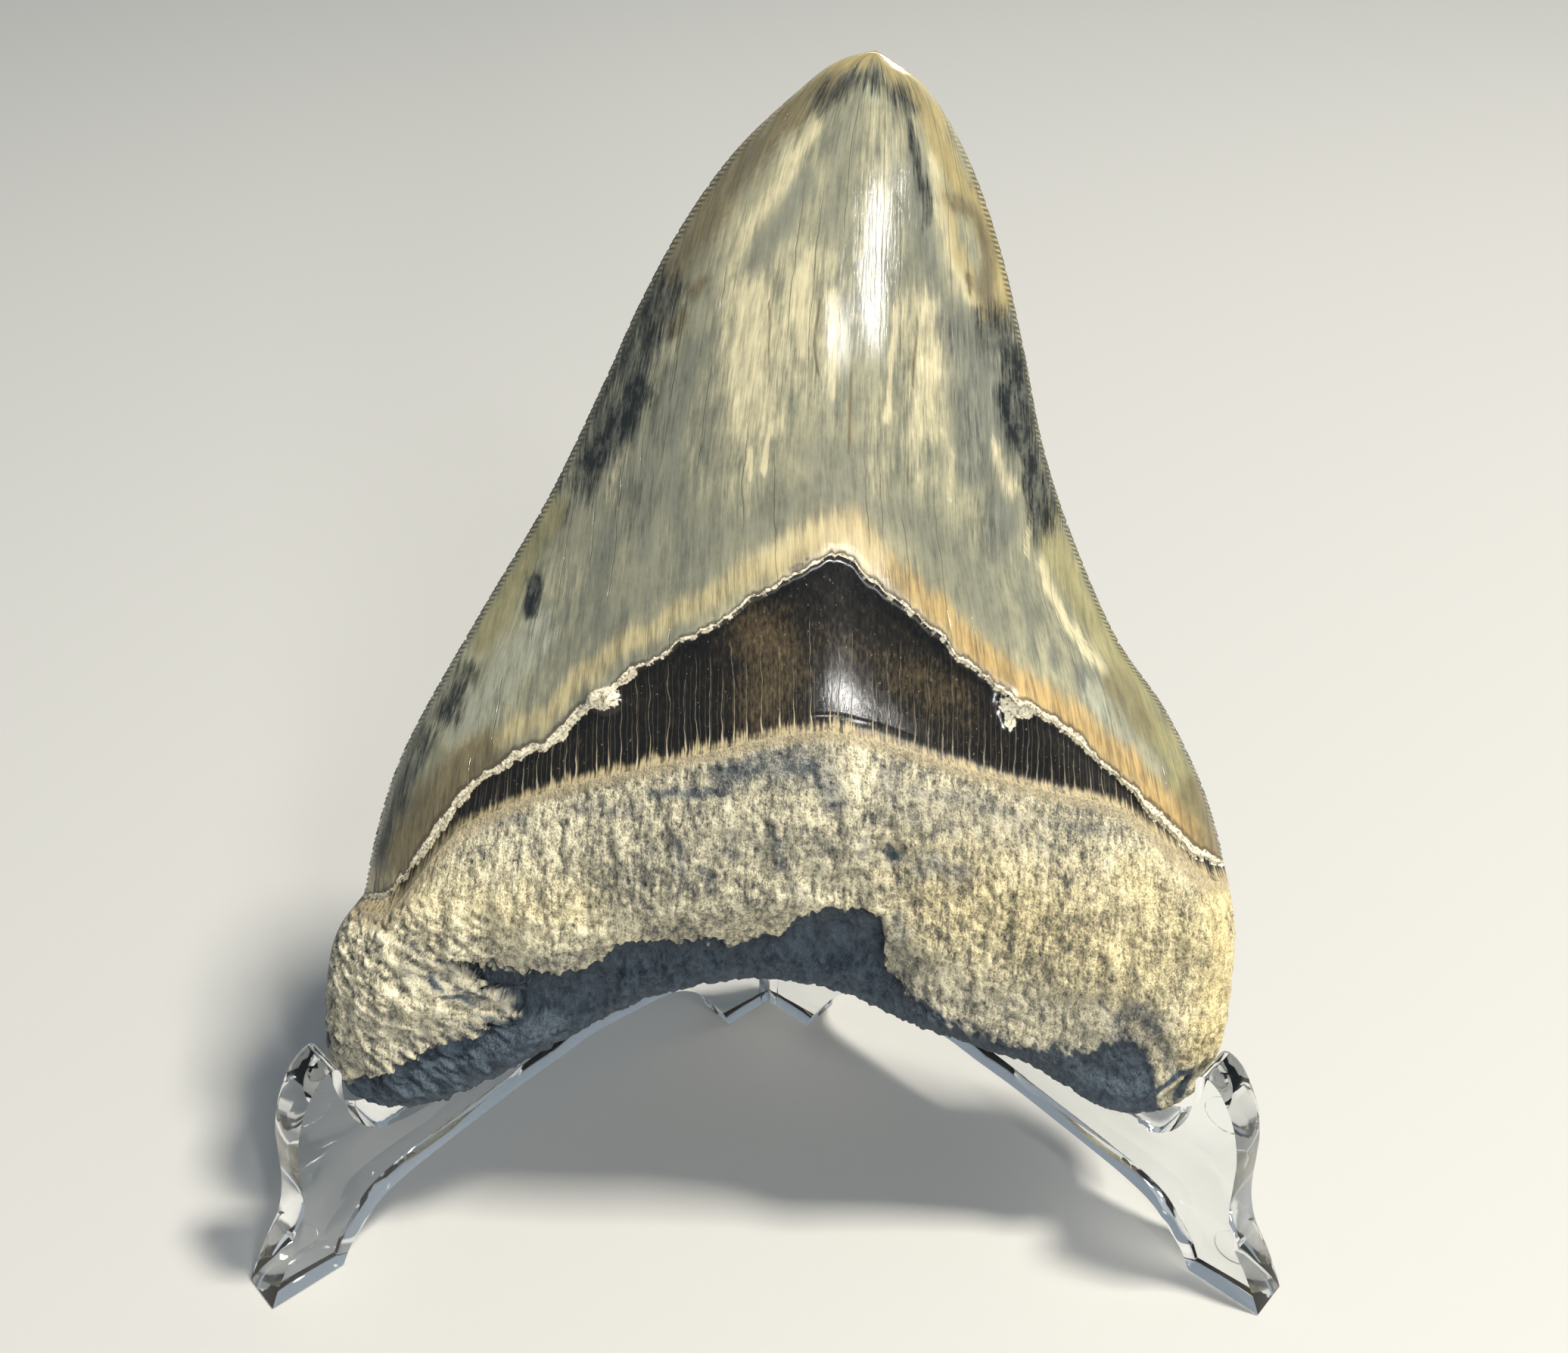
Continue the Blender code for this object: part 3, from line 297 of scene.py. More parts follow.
RECESS_LEFT = [(3, -57), (6, -51), (9.3, -45.2), (10.1, -43), (10.8, -40.3), (11.8, -37.7), (13.5, -35.6),
               (14.7, -33.2), (15.9, -33.8), (17.9, -35.3), (19.2, -37.1), (20.4, -39.3), (22.2, -41)]
RECESS_DEPTH = 1.1
RECESS_FALL = 0.34       # and how much further in it goes for each millimetre below its upper edge
RECESS_THIN = (13, 17)   # to the right of here it is half as deep,
RECESS_SOFT, RECESS_SOFTER = 0.6, 1.5    # and its edge is this much softer than at the left
RECESS_SHADE = 2.2       # how far down its upper edge shades it
NECK_DIP = 0.042         # how far the neck's upper part leans in, for each millimetre of its height
NECK_DIP_REACH = 0.8     # the share of the neck that it reaches down to
NECK_DIP_POWER = 1.6
SKIN_LEVEL = 0.10        # the root's skin is counted from this far below its smooth face


# ---- Curves ----

def smooth_path(points, steps=10):
    """A Catmull-Rom curve through the points, as a dense polyline."""
    knots = np.array(points, float)
    ends = np.vstack([2 * knots[0] - knots[1], knots, 2 * knots[-1] - knots[-2]])
    share = np.linspace(0, 1, steps, endpoint=False)[:, None]
    runs = []
    for a, b, c, d in zip(ends, ends[1:], ends[2:], ends[3:]):
        bend = 2 * a - 5 * b + 4 * c - d
        twist = 3 * b - a - 3 * c + d
        runs.append(b + 0.5 * ((c - a) * share + bend * share**2 + twist * share**3))
    return np.vstack(runs + [knots[-1:]])


def along(path, share):
    """The points at these shares of a polyline's length."""
    steps = np.hypot(*np.diff(path, axis=0).T)
    run = np.concatenate([[0], np.cumsum(steps)]) / steps.sum()
    return np.stack([np.interp(share, run, path[:, 0]), np.interp(share, run, path[:, 1])], -1)


def across(path, w):
    """The point of a left-to-right line at the share w of its width."""
    x = path[0, 0] + (path[-1, 0] - path[0, 0]) * w
    return np.stack([x, np.interp(x, path[:, 0], path[:, 1])], -1)


def ease(low, high, value):
    share = np.clip((value - low) / (high - low), 0, 1)
    return share * share * (3 - 2 * share)


def noise_at(points, size, seed):
    """Smooth noise, about -1 to 1, with lumps of this size along each axis."""
    scaled = np.asarray(points, float) / np.array(size, float) + seed
    return np.array([noise.noise(Vector(p)) for p in scaled])


def rough_at(points, size, seed, octaves=4):
    """Noise with finer and finer lumps on the first ones."""
    scaled = np.asarray(points, float) / np.array(size, float) + seed
    return np.array([noise.fractal(Vector(p), 0.8, 2.1, octaves) for p in scaled])


def layered(points, layers):
    return sum(height * noise_at(points, size, seed) for height, size, seed in layers)


def jagged(path):
    """A border with the jags of a chipped edge, which die away at its two ends."""
    x, h = path.T
    inside = ease(0, 6, x - x[0]) * ease(0, 6, x[-1] - x)
    flat = np.column_stack([x, 0 * x, 0 * x])
    return np.column_stack([x, h + layered(flat, JAGS) * inside])


LEFT_EDGE, RIGHT_EDGE = smooth_path(CROWN_LEFT), smooth_path(CROWN_RIGHT)
LEFT_SIDE, RIGHT_SIDE = smooth_path(ROOT_LEFT), smooth_path(ROOT_RIGHT)
FOOT_LINE = smooth_path(ARCH)
FRONT_BORDER = jagged(smooth_path(ENAMEL_FRONT, 40))
BACK_BORDER = jagged(smooth_path(ENAMEL_BACK, 100))
RIM_LINE = smooth_path(ROOT_RIM)
TIP_H = CROWN_LEFT[0][1]


# ---- Meshes ----

def shown(name, mesh):
    made = bpy.data.objects.new(name, mesh)
    bpy.context.scene.collection.objects.link(made)
    return made


def applied(thing):
    """The object's mesh with its modifiers applied and its place written into it."""
    bpy.context.view_layer.update()
    graph = bpy.context.evaluated_depsgraph_get()
    mesh = bpy.data.meshes.new_from_object(thing.evaluated_get(graph), depsgraph=graph)
    mesh.transform(thing.matrix_world)
    bpy.data.objects.remove(thing)
    return mesh


def turned_out(mesh, weld=None):
    """Joins vertices closer together than weld, in metres, and turns all faces outwards."""
    made = bmesh.new()
    made.from_mesh(mesh)
    if weld:
        bmesh.ops.remove_doubles(made, verts=made.verts, dist=weld)
    bmesh.ops.recalc_face_normals(made, faces=made.faces)
    made.to_mesh(mesh)
    made.free()
    return mesh


def keep(mesh, name, values, kind="FLOAT", field="value"):
    """Keeps values at the mesh's vertices under this name."""
    kept = mesh.attributes.new(name, kind, "POINT")
    kept.data.foreach_set(field, np.asarray(values, np.float32).ravel())


# ---- The tooth's outline and faces, as in the solid ----

def side(q, right):
    """A point of one side of the outline: q runs from 0 at the tip, over 1 where the enamel
    ends, to 2 at the lobe's outer foot."""
    crown = along(RIGHT_EDGE if right else LEFT_EDGE, np.clip(q, 0, 1))
    root = along(RIGHT_SIDE if right else LEFT_SIDE, np.clip(q - 1, 0, 1))
    return np.where((q <= 1)[..., None], crown, root)


def edge_n(q, w):
    """The outline's n: 0 along the cutting edges, then out between the root's two faces."""
    side_n = EDGE_SIDE * ease(1, 1.35, q) + (EDGE_LOBE - EDGE_SIDE) * ease(1.4, 2, q)
    middle = ease(0.12, 0.35, w) * ease(0.12, 0.35, 1 - w)
    return side_n - (EDGE_LOBE - EDGE_ARCH) * middle * ease(1.9, 2, q)


def saw(q):
    """How far a cutting edge dips between its serrations, from 0 to 1."""
    wave = 0.5 - 0.5 * np.cos(2 * np.pi * SERRATIONS * q)
    return wave * ease(WORN_TIP * 0.6, WORN_TIP * 1.6, q) * ease(1, 0.985, q)


def serrated_side(q, right):
    place = side(q, right)
    step = 0.003
    run = side(np.minimum(q + step, 2), right) - side(np.maximum(q - step, 0), right)
    inward = np.stack([run[:, 1], -run[:, 0]], -1) * (1 if right else -1)
    inward /= np.maximum(np.hypot(*inward.T), 1e-9)[:, None]
    return place + inward * (SERRATION_DEPTH * saw(q))[:, None]


def crown_place(w, t, border):
    """Rows that are straight at the tip and take the border's shape at t = 1."""
    straight = (1 - w)[:, None] * side(t, False) + w[:, None] * side(t, True)
    base = (1 - w)[:, None] * border[0] + w[:, None] * border[-1]
    return straight + (t**BEND)[:, None] * (across(border, w) - base)


def root_place(w, t, top, q):
    """Rows from the line top down to the foot, pulled out to the outline at both sides."""
    place = (1 - t)[:, None] * across(top, w) + t[:, None] * across(FOOT_LINE, w)
    for right, share in ((False, (1 - w)**3), (True, w**3)):
        end = -1 if right else 0
        straight = (1 - t)[:, None] * top[end] + t[:, None] * FOOT_LINE[end]
        place = place + share[:, None] * (side(q, right) - straight)
    return place


def crown_sides(h):
    """The x of the two cutting edges at the height h."""
    left = np.interp(-h, -LEFT_EDGE[:, 1], LEFT_EDGE[:, 0])
    right = np.interp(-h, -RIGHT_EDGE[:, 1], RIGHT_EDGE[:, 0])
    return left, right


def lens(x, h, power):
    """1 at the crown's middle, falling to 0 at its cutting edges."""
    left, right = crown_sides(h)
    u = (2 * x - left - right) / np.maximum(right - left, 1e-6)
    return np.clip(1 - u * u, 0, 1)**power


def crown_front(x, h):
    power = TIP_LENS + (BASE_LENS - TIP_LENS) * ease(*LENS_CHANGE, h)
    return CROWN_RISE * (1 - np.exp((h - TIP_H) / CROWN_TAPER)) * lens(x, h, power)


def crown_back(x, h):
    flat = 1 - (1 - lens(x, h, 1))**2
    return -CROWN_BACK * (1 - np.exp((h - TIP_H) / BACK_TAPER)) * flat


def quarter_round(distance, radius, power=2.0):
    """0 at the edge, 1 from the radius inwards."""
    return (1 - (1 - np.clip(distance / radius, 0, 1))**power)**(1 / power)


def relief(x, h):
    """The lumps, pits and gouges, and the chip at the right lobe's foot."""
    total = np.zeros_like(x)
    for bx, bh, rx, rh, height in RELIEF:
        total += height * np.exp(-((x - bx) / rx)**2 - ((h - bh) / rh)**2)
    cx, ch, length, width, slope = CHIP
    turn = math.radians(slope)
    run = (x - cx) * math.cos(turn) + (h - ch) * math.sin(turn)
    off = (h - ch) * math.cos(turn) - (x - cx) * math.sin(turn)
    return total - CHIP_DEPTH * np.exp(-(run / length)**4 - (off / width)**2)


def lumps(x, h, size, seed):
    """The solid's own smooth noise from -1 to 1, with lumps about this size."""
    return noise_at(np.column_stack([x, h, seed + 0 * x]), (size, size, 1), 0)


def root_front(t, x, h):
    """The root's inner face: a ridge below the rim that falls away to the arch in the middle."""
    ridge = ROOT_LOBE + (ROOT_MIDDLE - ROOT_LOBE) * np.exp(-((x - ROOT_MIDDLE_X) / ROOT_WIDTH)**2)
    swell = 1 - RIDGE_SWELL * ease(0.3, 0, t)
    over_arch = ease(*UNDERCUT_LEFT, x) * ease(*UNDERCUT_RIGHT, x)
    fall = LOBE_FALL * ease(0.4, 1, t) + UNDERCUT * over_arch * ease(0.55, 0.8, t)
    rough = LUMP_HEIGHT * lumps(x, h, LUMP_SIZE, 3.1)
    rough += SMALL_LUMP_HEIGHT * lumps(x, h, SMALL_LUMP_SIZE, 8.7)
    grooves = GROOVE_DEPTH * np.cos(2 * np.pi * x / GROOVE_PITCH + 1.5 * lumps(x, h, 14, 5.5))
    return ridge * (swell - fall) + ease(0.06, 0.25, t) * (rough + grooves * ease(0.7, 0.5, t))


def front_face(w, v):
    """(x, h, n) of the inner face: v runs over 0 at the tip, 1 at the enamel's border, 2 at the
    root's rim and 3 at its foot. w runs from the left edge to the right one."""
    crown_t, neck_t, root_t = np.clip(v, 0, 1), np.clip(v - 1, 0, 1), np.clip(v - 2, 0, 1)
    q = outline_q(v)
    neck = (1 - neck_t)[:, None] * across(FRONT_BORDER, w) + neck_t[:, None] * across(RIM_LINE, w)
    place = np.where((v <= 1)[:, None], crown_place(w, crown_t, FRONT_BORDER), neck)
    place = np.where((v > 2)[:, None], root_place(w, root_t, RIM_LINE, q), place)
    x, h = place.T
    from_side = TOOTH_WIDTH * np.minimum(w, 1 - w)
    middle = quarter_round(from_side, STEP_ROUND)
    round_side = quarter_round(from_side, SIDE_ROUND)
    crown_n = crown_front(x, h)
    step = ENAMEL_STEP * middle * np.where((v > 1) & (v < 2), 1, 0)
    height = across(RIM_LINE, w)[:, 1] - across(FOOT_LINE, w)[:, 1]
    round_foot = quarter_round((1 - root_t) * height, FOOT_ROUND)
    edge = edge_n(q, w)
    body = edge + (root_front(root_t, x, h) - edge) * round_side * round_foot
    start = crown_n + (root_front(0 * w, x, h) - crown_n) * RIM_SHARE * middle
    root_n = start + (body - start) * ease(-0.02, 0.12, root_t)
    neck_n = crown_n + (start - crown_n) * NECK_SHARE * neck_t**2 - step
    n = np.where(v <= 1, crown_n, neck_n)
    n = np.where(v >= 2, root_n, n)
    n += relief(x, h) * round_foot * np.where(v < 0.9, 0, 1)
    return np.stack([x, h, n], -1)


def back_face(w, v):
    """(x, h, n) of the outer face: v runs over 0 at the tip, 1 where the enamel ends and 2 at
    the foot."""
    root_t = np.clip(v - 1, 0, 1)
    crown = crown_place(w, np.clip(v, 0, 1), BACK_BORDER)
    root = root_place(w, root_t, BACK_BORDER, np.maximum(v, 1))
    place = np.where((v <= 1)[:, None], crown, root)
    x, h = place.T
    edge = edge_n(v, w)
    height = across(BACK_BORDER, w)[:, 1] - across(FOOT_LINE, w)[:, 1]
    lobe = 1 - ease(0.2, 0.36, w) * ease(0.2, 0.36, 1 - w)
    round_foot = quarter_round((1 - root_t) * height, BACK_ROUND, 2 - 0.75 * lobe)
    round_side = quarter_round(TOOTH_WIDTH * np.minimum(w, 1 - w), SIDE_ROUND)
    flat = BACK_LUMP_HEIGHT * lumps(x, h, BACK_LUMP_SIZE, 1.7) - ROOT_BACK
    root_n = edge + (flat - edge) * round_side * round_foot
    start = crown_back(x, h)
    root_n = start + (root_n - start) * ease(0, 0.3, root_t)
    return np.stack([x, h, np.where(v <= 1, start, root_n)], -1)


def outline_q(v):
    """The inner face's row v, as a place down the outline."""
    neck = 1 + (RIM_Q - 1) * (v - 1)
    root = RIM_Q + (2 - RIM_Q) * (v - 2)
    return np.where(v <= 1, v, np.where(v <= 2, neck, root))


def to_world(points):
    """From (x, h, n) to metres in the object's frame."""
    x, h, n = np.asarray(points, float).T
    y = HINGE_Y + FOOT_Y + h * math.sin(LEAN) - n * math.cos(LEAN)
    z = FOOT_Z + h * math.cos(LEAN) + n * math.sin(LEAN)
    return np.stack([x, y, z], -1) * MM


# ---- The tooth's dense mesh ----

ENAMEL_ZONE, NECK_ZONE, ROOT_ZONE = 0, 1, 2


class Cloud:
    """The tooth's vertices as they are made: place, w, v, and 1 on the inner face, 0 on the outer
    one and a half on the outline that they share."""

    def __init__(self):
        self.count = 0
        self.runs = []

    def add(self, place, w, v, front):
        first = self.count
        self.count += len(place)
        zeros = np.zeros(len(place))
        self.runs.append(np.column_stack([place, w + zeros, v + zeros, front + zeros]))
        return first + np.arange(len(place))

    def table(self):
        return np.vstack(self.runs)


def zip_lines(faces, one, one_at, two, two_at):
    """Fills the strip between two lines of vertices whose places run the same way."""
    i, j = 0, 0
    while i < len(one) - 1 or j < len(two) - 1:
        take_one = j == len(two) - 1 or (i < len(one) - 1 and one_at[i + 1] <= two_at[j + 1])
        if take_one:
            faces.append((one[i], one[i + 1], two[j]))
            i += 1
        else:
            faces.append((one[i], two[j + 1], two[j]))
            j += 1


def outline_ring(cloud):
    """The vertices where the two faces meet: tip, left side, foot and right side."""
    crown_q = np.linspace(0, 1, SERRATIONS * SERRATION_STEPS + 1)[1:]
    root_q = np.linspace(1, 2, ROOT_SIDE_STEPS + 1)[1:]
    q = np.concatenate([crown_q, root_q])
    tip = int(cloud.add(np.array([[*CROWN_LEFT[0], 0.0]]), 0.5, 0.0, 0.5)[0])
    ring = {"tip": tip}
    for name, right in (("left", False), ("right", True)):
        w = np.full_like(q, 1.0 if right else 0.0)
        place = np.column_stack([serrated_side(q, right), edge_n(q, w)])
        index = cloud.add(place, w, q, 0.5)
        ring[name] = ([tip, *index], [0.0, *q])
    w = np.linspace(0, 1, ARCH_STEPS + 1)[1:-1]
    place = np.column_stack([across(FOOT_LINE, w), edge_n(np.full_like(w, 2.0), w)])
    ring["foot"] = (list(cloud.add(place, w, 2.0, 0.5)), list(w))
    return ring


def face_grid(cloud, faces, surface, front, rows, columns, ring, row_q):
    """One face of the tooth: a grid of rows and columns, zipped to the outline's ring."""
    spread = 0.5 - 0.5 * np.cos(np.linspace(0, np.pi, columns + 1))
    w = EDGE_CROWDING * spread + (1 - EDGE_CROWDING) * np.linspace(0, 1, columns + 1)
    w = SIDE_INSET + (1 - 2 * SIDE_INSET) * w
    rows = np.array(rows)
    grid_w, grid_v = np.meshgrid(w, rows)
    points = surface(grid_w.ravel(), grid_v.ravel())
    index = cloud.add(points, grid_w.ravel(), grid_v.ravel(), front).reshape(len(rows), len(w))
    corners = (index[:-1, :-1], index[:-1, 1:], index[1:, 1:], index[1:, :-1])
    faces.extend(np.stack([c.ravel() for c in corners], -1).tolist())
    q = list(row_q(rows))
    foot, foot_at = ring["foot"]
    for k in range(columns):
        faces.append((ring["tip"], index[0][k + 1], index[0][k]))
    for name, column, corner in (("left", index[:, 0], foot[0]), ("right", index[:, -1], foot[-1])):
        line, line_at = ring[name]
        zip_lines(faces, line, line_at, list(column), q)
        faces.append((line[-1], column[-1], corner))
    zip_lines(faces, foot, foot_at, list(index[-1]), list(w))


def crown_rows(count):
    """Rows down the crown, closer together just above the enamel's border."""
    even = [v for v in np.linspace(0, 1, count + 1)[1:] if v < 1 - BORDER_SHARES[0]]
    return even + [1 - share for share in BORDER_SHARES] + [1.0]


def front_rows():
    wall = [1 + WALL_SHARE, 1 + 1.2 * WALL_SHARE]
    neck = list(np.linspace(1 + 2 * WALL_SHARE, 2 - WALL_SHARE, NECK_ROWS))
    root = list(2 + np.linspace(0, 1, ROOT_ROWS + 1)[:-1]) + [3 - LAST_ROW / ROOT_ROWS]
    return crown_rows(CROWN_ROWS) + wall + neck + root


def back_rows():
    root = list(1 + np.linspace(0, 1, BACK_ROOT_ROWS + 1)[1:-1]) + [2 - LAST_ROW / BACK_ROOT_ROWS]
    return crown_rows(BACK_CROWN_ROWS) + root


def strokes(lines, x, h):
    """How strongly the nearest of these strokes marks each point."""
    marked = np.zeros_like(x)
    for points, half, strength in lines:
        path = smooth_path(points, 5) if len(points) > 2 else np.array(points, float)
        reach = STROKE_REACH * half
        near = np.flatnonzero((x > path[:, 0].min() - reach) & (x < path[:, 0].max() + reach)
                              & (h > path[:, 1].min() - reach) & (h < path[:, 1].max() + reach))
        away = np.full(len(near), np.inf)
        for (ax, ah), (bx, bh) in zip(path, path[1:]):
            run = (bx - ax)**2 + (bh - ah)**2
            share = np.clip(((x[near] - ax) * (bx - ax) + (h[near] - ah) * (bh - ah)) / run, 0, 1)
            gap = np.hypot(x[near] - ax - share * (bx - ax), h[near] - ah - share * (bh - ah))
            away = np.minimum(away, gap)
        marked[near] = np.maximum(marked[near], strength * np.exp(-(away / half)**2))
    return marked


def above(line, x, h):
    """How far a point is over a line across the tooth, square to it."""
    level = np.interp(x, line[:, 0], line[:, 1])
    near = 2.0
    rise = np.interp(x + near, line[:, 0], line[:, 1]) - np.interp(x - near, line[:, 0], line[:, 1])
    return (h - level) / np.hypot(1, rise / (2 * near))


def grooves(points, size, seed, width):
    """1 along the winding lines where smooth noise passes zero, 0 away from them."""
    return np.exp(-(rough_at(points, size, seed, 2) / width)**2)


def root_skin(place):
    """The height of the root's skin over SKIN_LEVEL below its smooth face: upright fibres below
    the rim, grains all over, slanting knobs on the left lobe, and winding grooves between them."""
    x, h, n = place.T
    slant = math.radians(-38)
    turned = np.column_stack([x * math.cos(slant) + h * math.sin(slant),
                              h * math.cos(slant) - x * math.sin(slant), n])
    lobe = ease(-28, -37, x) * ease(36, 26, h)
    upright = (1 - 0.85 * lobe) * (1 - 0.7 * ease(30, 46, x))
    skin = np.zeros_like(x)
    # Each layer: its height, where it is read, its lumps' size, seed, octaves, where it shows
    for height, at, size, seed, octaves, where in (
            (0.17, place, (0.8, 2.4, 2.4), 3.3, 3, upright),
            (0.19, place, (0.75, 0.85, 0.85), 17.1, 2, 1 - 0.4 * lobe),
            (0.15, place, (2.2, 3.0, 3.0), 7.7, 2, 1 - 0.5 * lobe),
            (0.50, turned, (3.0, 0.85, 1.6), 29.7, 2, lobe)):
        skin += height * rough_at(at, size, seed, octaves) * where
    # Each set of grooves: its depth, where it is read, its windings' size, seed, width, where
    for depth, at, size, seed, width, where in (
            (0.26, place, (1.3, 3.6, 3.0), 11.9, 0.16, upright),
            (0.30, turned, (3.6, 1.2, 2.0), 37.3, 0.18, lobe),
            (0.14, place, (1.6, 1.7, 1.6), 61.3, 0.16, 1 - lobe)):
        skin -= depth * grooves(at, size, seed, width) * where
    return skin + SKIN_LEVEL


def recess(place, skin, depth):
    """1 inside the hollow along the root's foot and 0 outside, how shaded and how deep it is there.
    The skin's crests stand into it along its edge."""
    x, h, n = place.T
    flat = np.column_stack([x, h, 0 * x])
    crumbs = layered(flat, CRUMBS) - 1.8 * (skin - SKIN_LEVEL)
    below = np.interp(x, *np.transpose(RECESS_TOP)) - h + crumbs
    left = np.interp(h, *np.transpose(RECESS_LEFT)) - 1.2 * crumbs
    rightward = ease(*RECESS_THIN, x)
    soft = RECESS_SOFT + RECESS_SOFTER * rightward
    inside = ease(-soft, soft, below) * ease(-0.4, 0.9, x - left)
    fall = RECESS_DEPTH + RECESS_FALL * np.clip(below, 0, 6)
    deep = inside * (1 - 0.5 * rightward) * fall * ease(1, 0.6, depth)
    return inside, inside * np.exp(-np.clip(below, 0, None) / RECESS_SHADE), deep


def tooth_shape():
    """The tooth as a bare mesh, and the table of its vertices: x, h, n, w, v and face."""
    cloud, faces = Cloud(), []
    ring = outline_ring(cloud)
    face_grid(cloud, faces, front_face, 1, front_rows(), COLUMNS, ring, outline_q)
    face_grid(cloud, faces, back_face, 0, back_rows(), BACK_COLUMNS, ring, lambda v: v)
    mesh = bpy.data.meshes.new("tooth_surface")
    table = cloud.table()
    mesh.from_pydata(table[:, :3].tolist(), [], [tuple(map(int, f)) for f in faces])
    return turned_out(mesh), table


def raised_by(place, w, v, front, depth, over_border):
    """How far each vertex stands over the smooth face, in millimetres, and the skin, hollow and
    shade that the materials read."""
    x, h, n = place.T
    raised, skin, inside, shade = np.zeros((4, len(place)))
    # The root's bone, and the hollow along its foot
    bone = depth > 0
    settle = ease(0, 0.04, depth[bone])
    skin[bone] = root_skin(place[bone]) * (0.35 + 0.65 * settle)
    raised[bone] = (skin[bone] - SKIN_LEVEL) * settle
    hollow = bone & (front == 1)
    inside[hollow], shade[hollow], deep = recess(place[hollow], skin[hollow], depth[hollow])
    raised[hollow] -= deep
    # The neck's upper part
    tall = across(FRONT_BORDER, w)[:, 1] - across(RIM_LINE, w)[:, 1]
    upper = np.clip(1 - (v - 1) / NECK_DIP_REACH, 0, 1)
    raised -= NECK_DIP * tall * upper**NECK_DIP_POWER * (v > 1) * (front == 1)
    # The crown's shallow waves, its crumbling rim and the crusts on it
    crown = ~bone & (front != 0.5) & (over_border > 0)
    from_side = np.minimum(w, 1 - w)[crown] * TOOTH_WIDTH
    raised[crown] += layered(place[crown], WAVES) * ease(0, 8, from_side)
    rim = np.exp(-(over_border / RIM_REACH)**2) * (v <= 1) * (front == 1)
    near = rim > 0.02
    crumbling = RIM_CRUMBS * rough_at(place[near], (0.8, 0.8, 0.8), 5.1, 3) - RIM_SUNK
    raised[near] += rim[near] * crumbling
    crust = strokes(CRUSTS, x, h) * (front == 1)
    near = crust > 0.05
    lumpy = CRUST_LEVEL + CRUST_LUMPS * np.abs(rough_at(place[near], (0.7, 0.7, 0.7), 9.4, 3))
    raised[near] += np.minimum(crust[near], 1) * lumpy
    return raised, skin, inside, shade


def marks(place, front, inside, over_border):
    """The masks that the materials read. The stains' outlines wander, most of all along the
    streaks."""
    x, h, n = place.T
    loose = np.where(front == 0, 3.0, 1.0)
    not_outer = front > 0
    wx = x + loose * layered(place, STREAK_DRIFT_X)
    wh = h + loose * layered(place, STREAK_DRIFT_H)
    rx = x + layered(place, ROOT_DRIFT_X)
    rh = h + layered(place, ROOT_DRIFT_H)
    left, right = crown_sides(h)
    band, spread = tan_band(x)
    return {name: strokes(lines, wx, wh) for name, lines in STAINS.items()} | {
        "over_rim": above(RIM_LINE, x, h),
        "from_edge": np.minimum(x - left, right - x) * 0.87,
        "rightward": ease(-6, 26, x),
        "fringe": ease(-38, -24, x) * (1 - 0.7 * ease(6, 20, x)) + 1.4 * ease(-45, -50, x),
        "tan": np.exp(-np.abs((over_border + 0.35 * (wh - h) - band) / spread)**2),
        "crust": strokes(CRUSTS, x, h) * not_outer,
        "wide_rim": strokes(WIDE_RIMS, x, h) * not_outer,
        # hollow: slate stains and pits, and painted shadow in the hollow along the root's foot
        "hollow": np.maximum(strokes(DARK_PITS_AND_PAINTED_SHADE, rx, rh) * not_outer, 1.35 * inside),
        "root_pale": strokes(PALES, rx, rh) * not_outer,
        "root_yellow": strokes(YELLOWS, rx, rh),
        "neck_warm": strokes(NECK_WARM, rx, rh),
    }


def set_zones(mesh, w, v, front):
    """Gives each face the material of its lowest vertex's zone."""
    below_wall = v > 1 + 1.1 * WALL_SHARE
    inner = np.where(v > 2, ROOT_ZONE, np.where(below_wall, NECK_ZONE, ENAMEL_ZONE))
    outer = np.where(v > 1, ROOT_ZONE, ENAMEL_ZONE)
    foot = np.where((v > 1.02) & (w * (1 - w) > 0), ROOT_ZONE, ENAMEL_ZONE)
    zone = np.select([front == 1, front == 0], [inner, outer], foot)
    corners = np.zeros(len(mesh.loops), int)
    mesh.loops.foreach_get("vertex_index", corners)
    starts = np.zeros(len(mesh.polygons), int)
    mesh.polygons.foreach_get("loop_start", starts)
    mesh.polygons.foreach_set("material_index", np.maximum.reduceat(zone[corners], starts))


def make_tooth():
    """The dense mesh, raised by its relief, with its masks and its three materials."""
    mesh, table = tooth_shape()
    place, (w, v, front) = table[:, :3], table[:, 3:].T
    x, h, n = place.T
    depth = np.where(front == 0.5, -1, np.where(front == 1, v - 2, v - 1))
    over_border = np.where(front == 0, above(BACK_BORDER, x, h), above(FRONT_BORDER, x, h))
    normals = np.zeros(len(place) * 3)
    mesh.vertex_normals.foreach_get("vector", normals)
    raised, skin, inside, shade = raised_by(place, w, v, front, depth, over_border)
    lifted = place + normals.reshape(-1, 3) * raised[:, None]
    mesh.vertices.foreach_set("co", to_world(lifted).ravel())

    masks = marks(place, front, inside, over_border)
    masks |= {"over_border": over_border, "row": np.minimum(v, 1), "skin": skin, "shade": shade}
    for name, values in masks.items():
        keep(mesh, name, values)
    # The streaks run upright at the tip and fan out with the tooth's width towards its base
    fan = 0.2 + 0.35 * ease(90, 50, h)
    streak = (1 - fan) * x + fan * (w - 0.5) * TOOTH_WIDTH
    keep(mesh, "pattern", np.column_stack([streak, h, n]), "FLOAT_VECTOR", "vector")

    set_zones(mesh, w, v, front)
    mesh.shade_smooth()
    for finish in (enamel(), neck(), root()):
        mesh.materials.append(finish)
    return shown("tooth_surface", mesh)


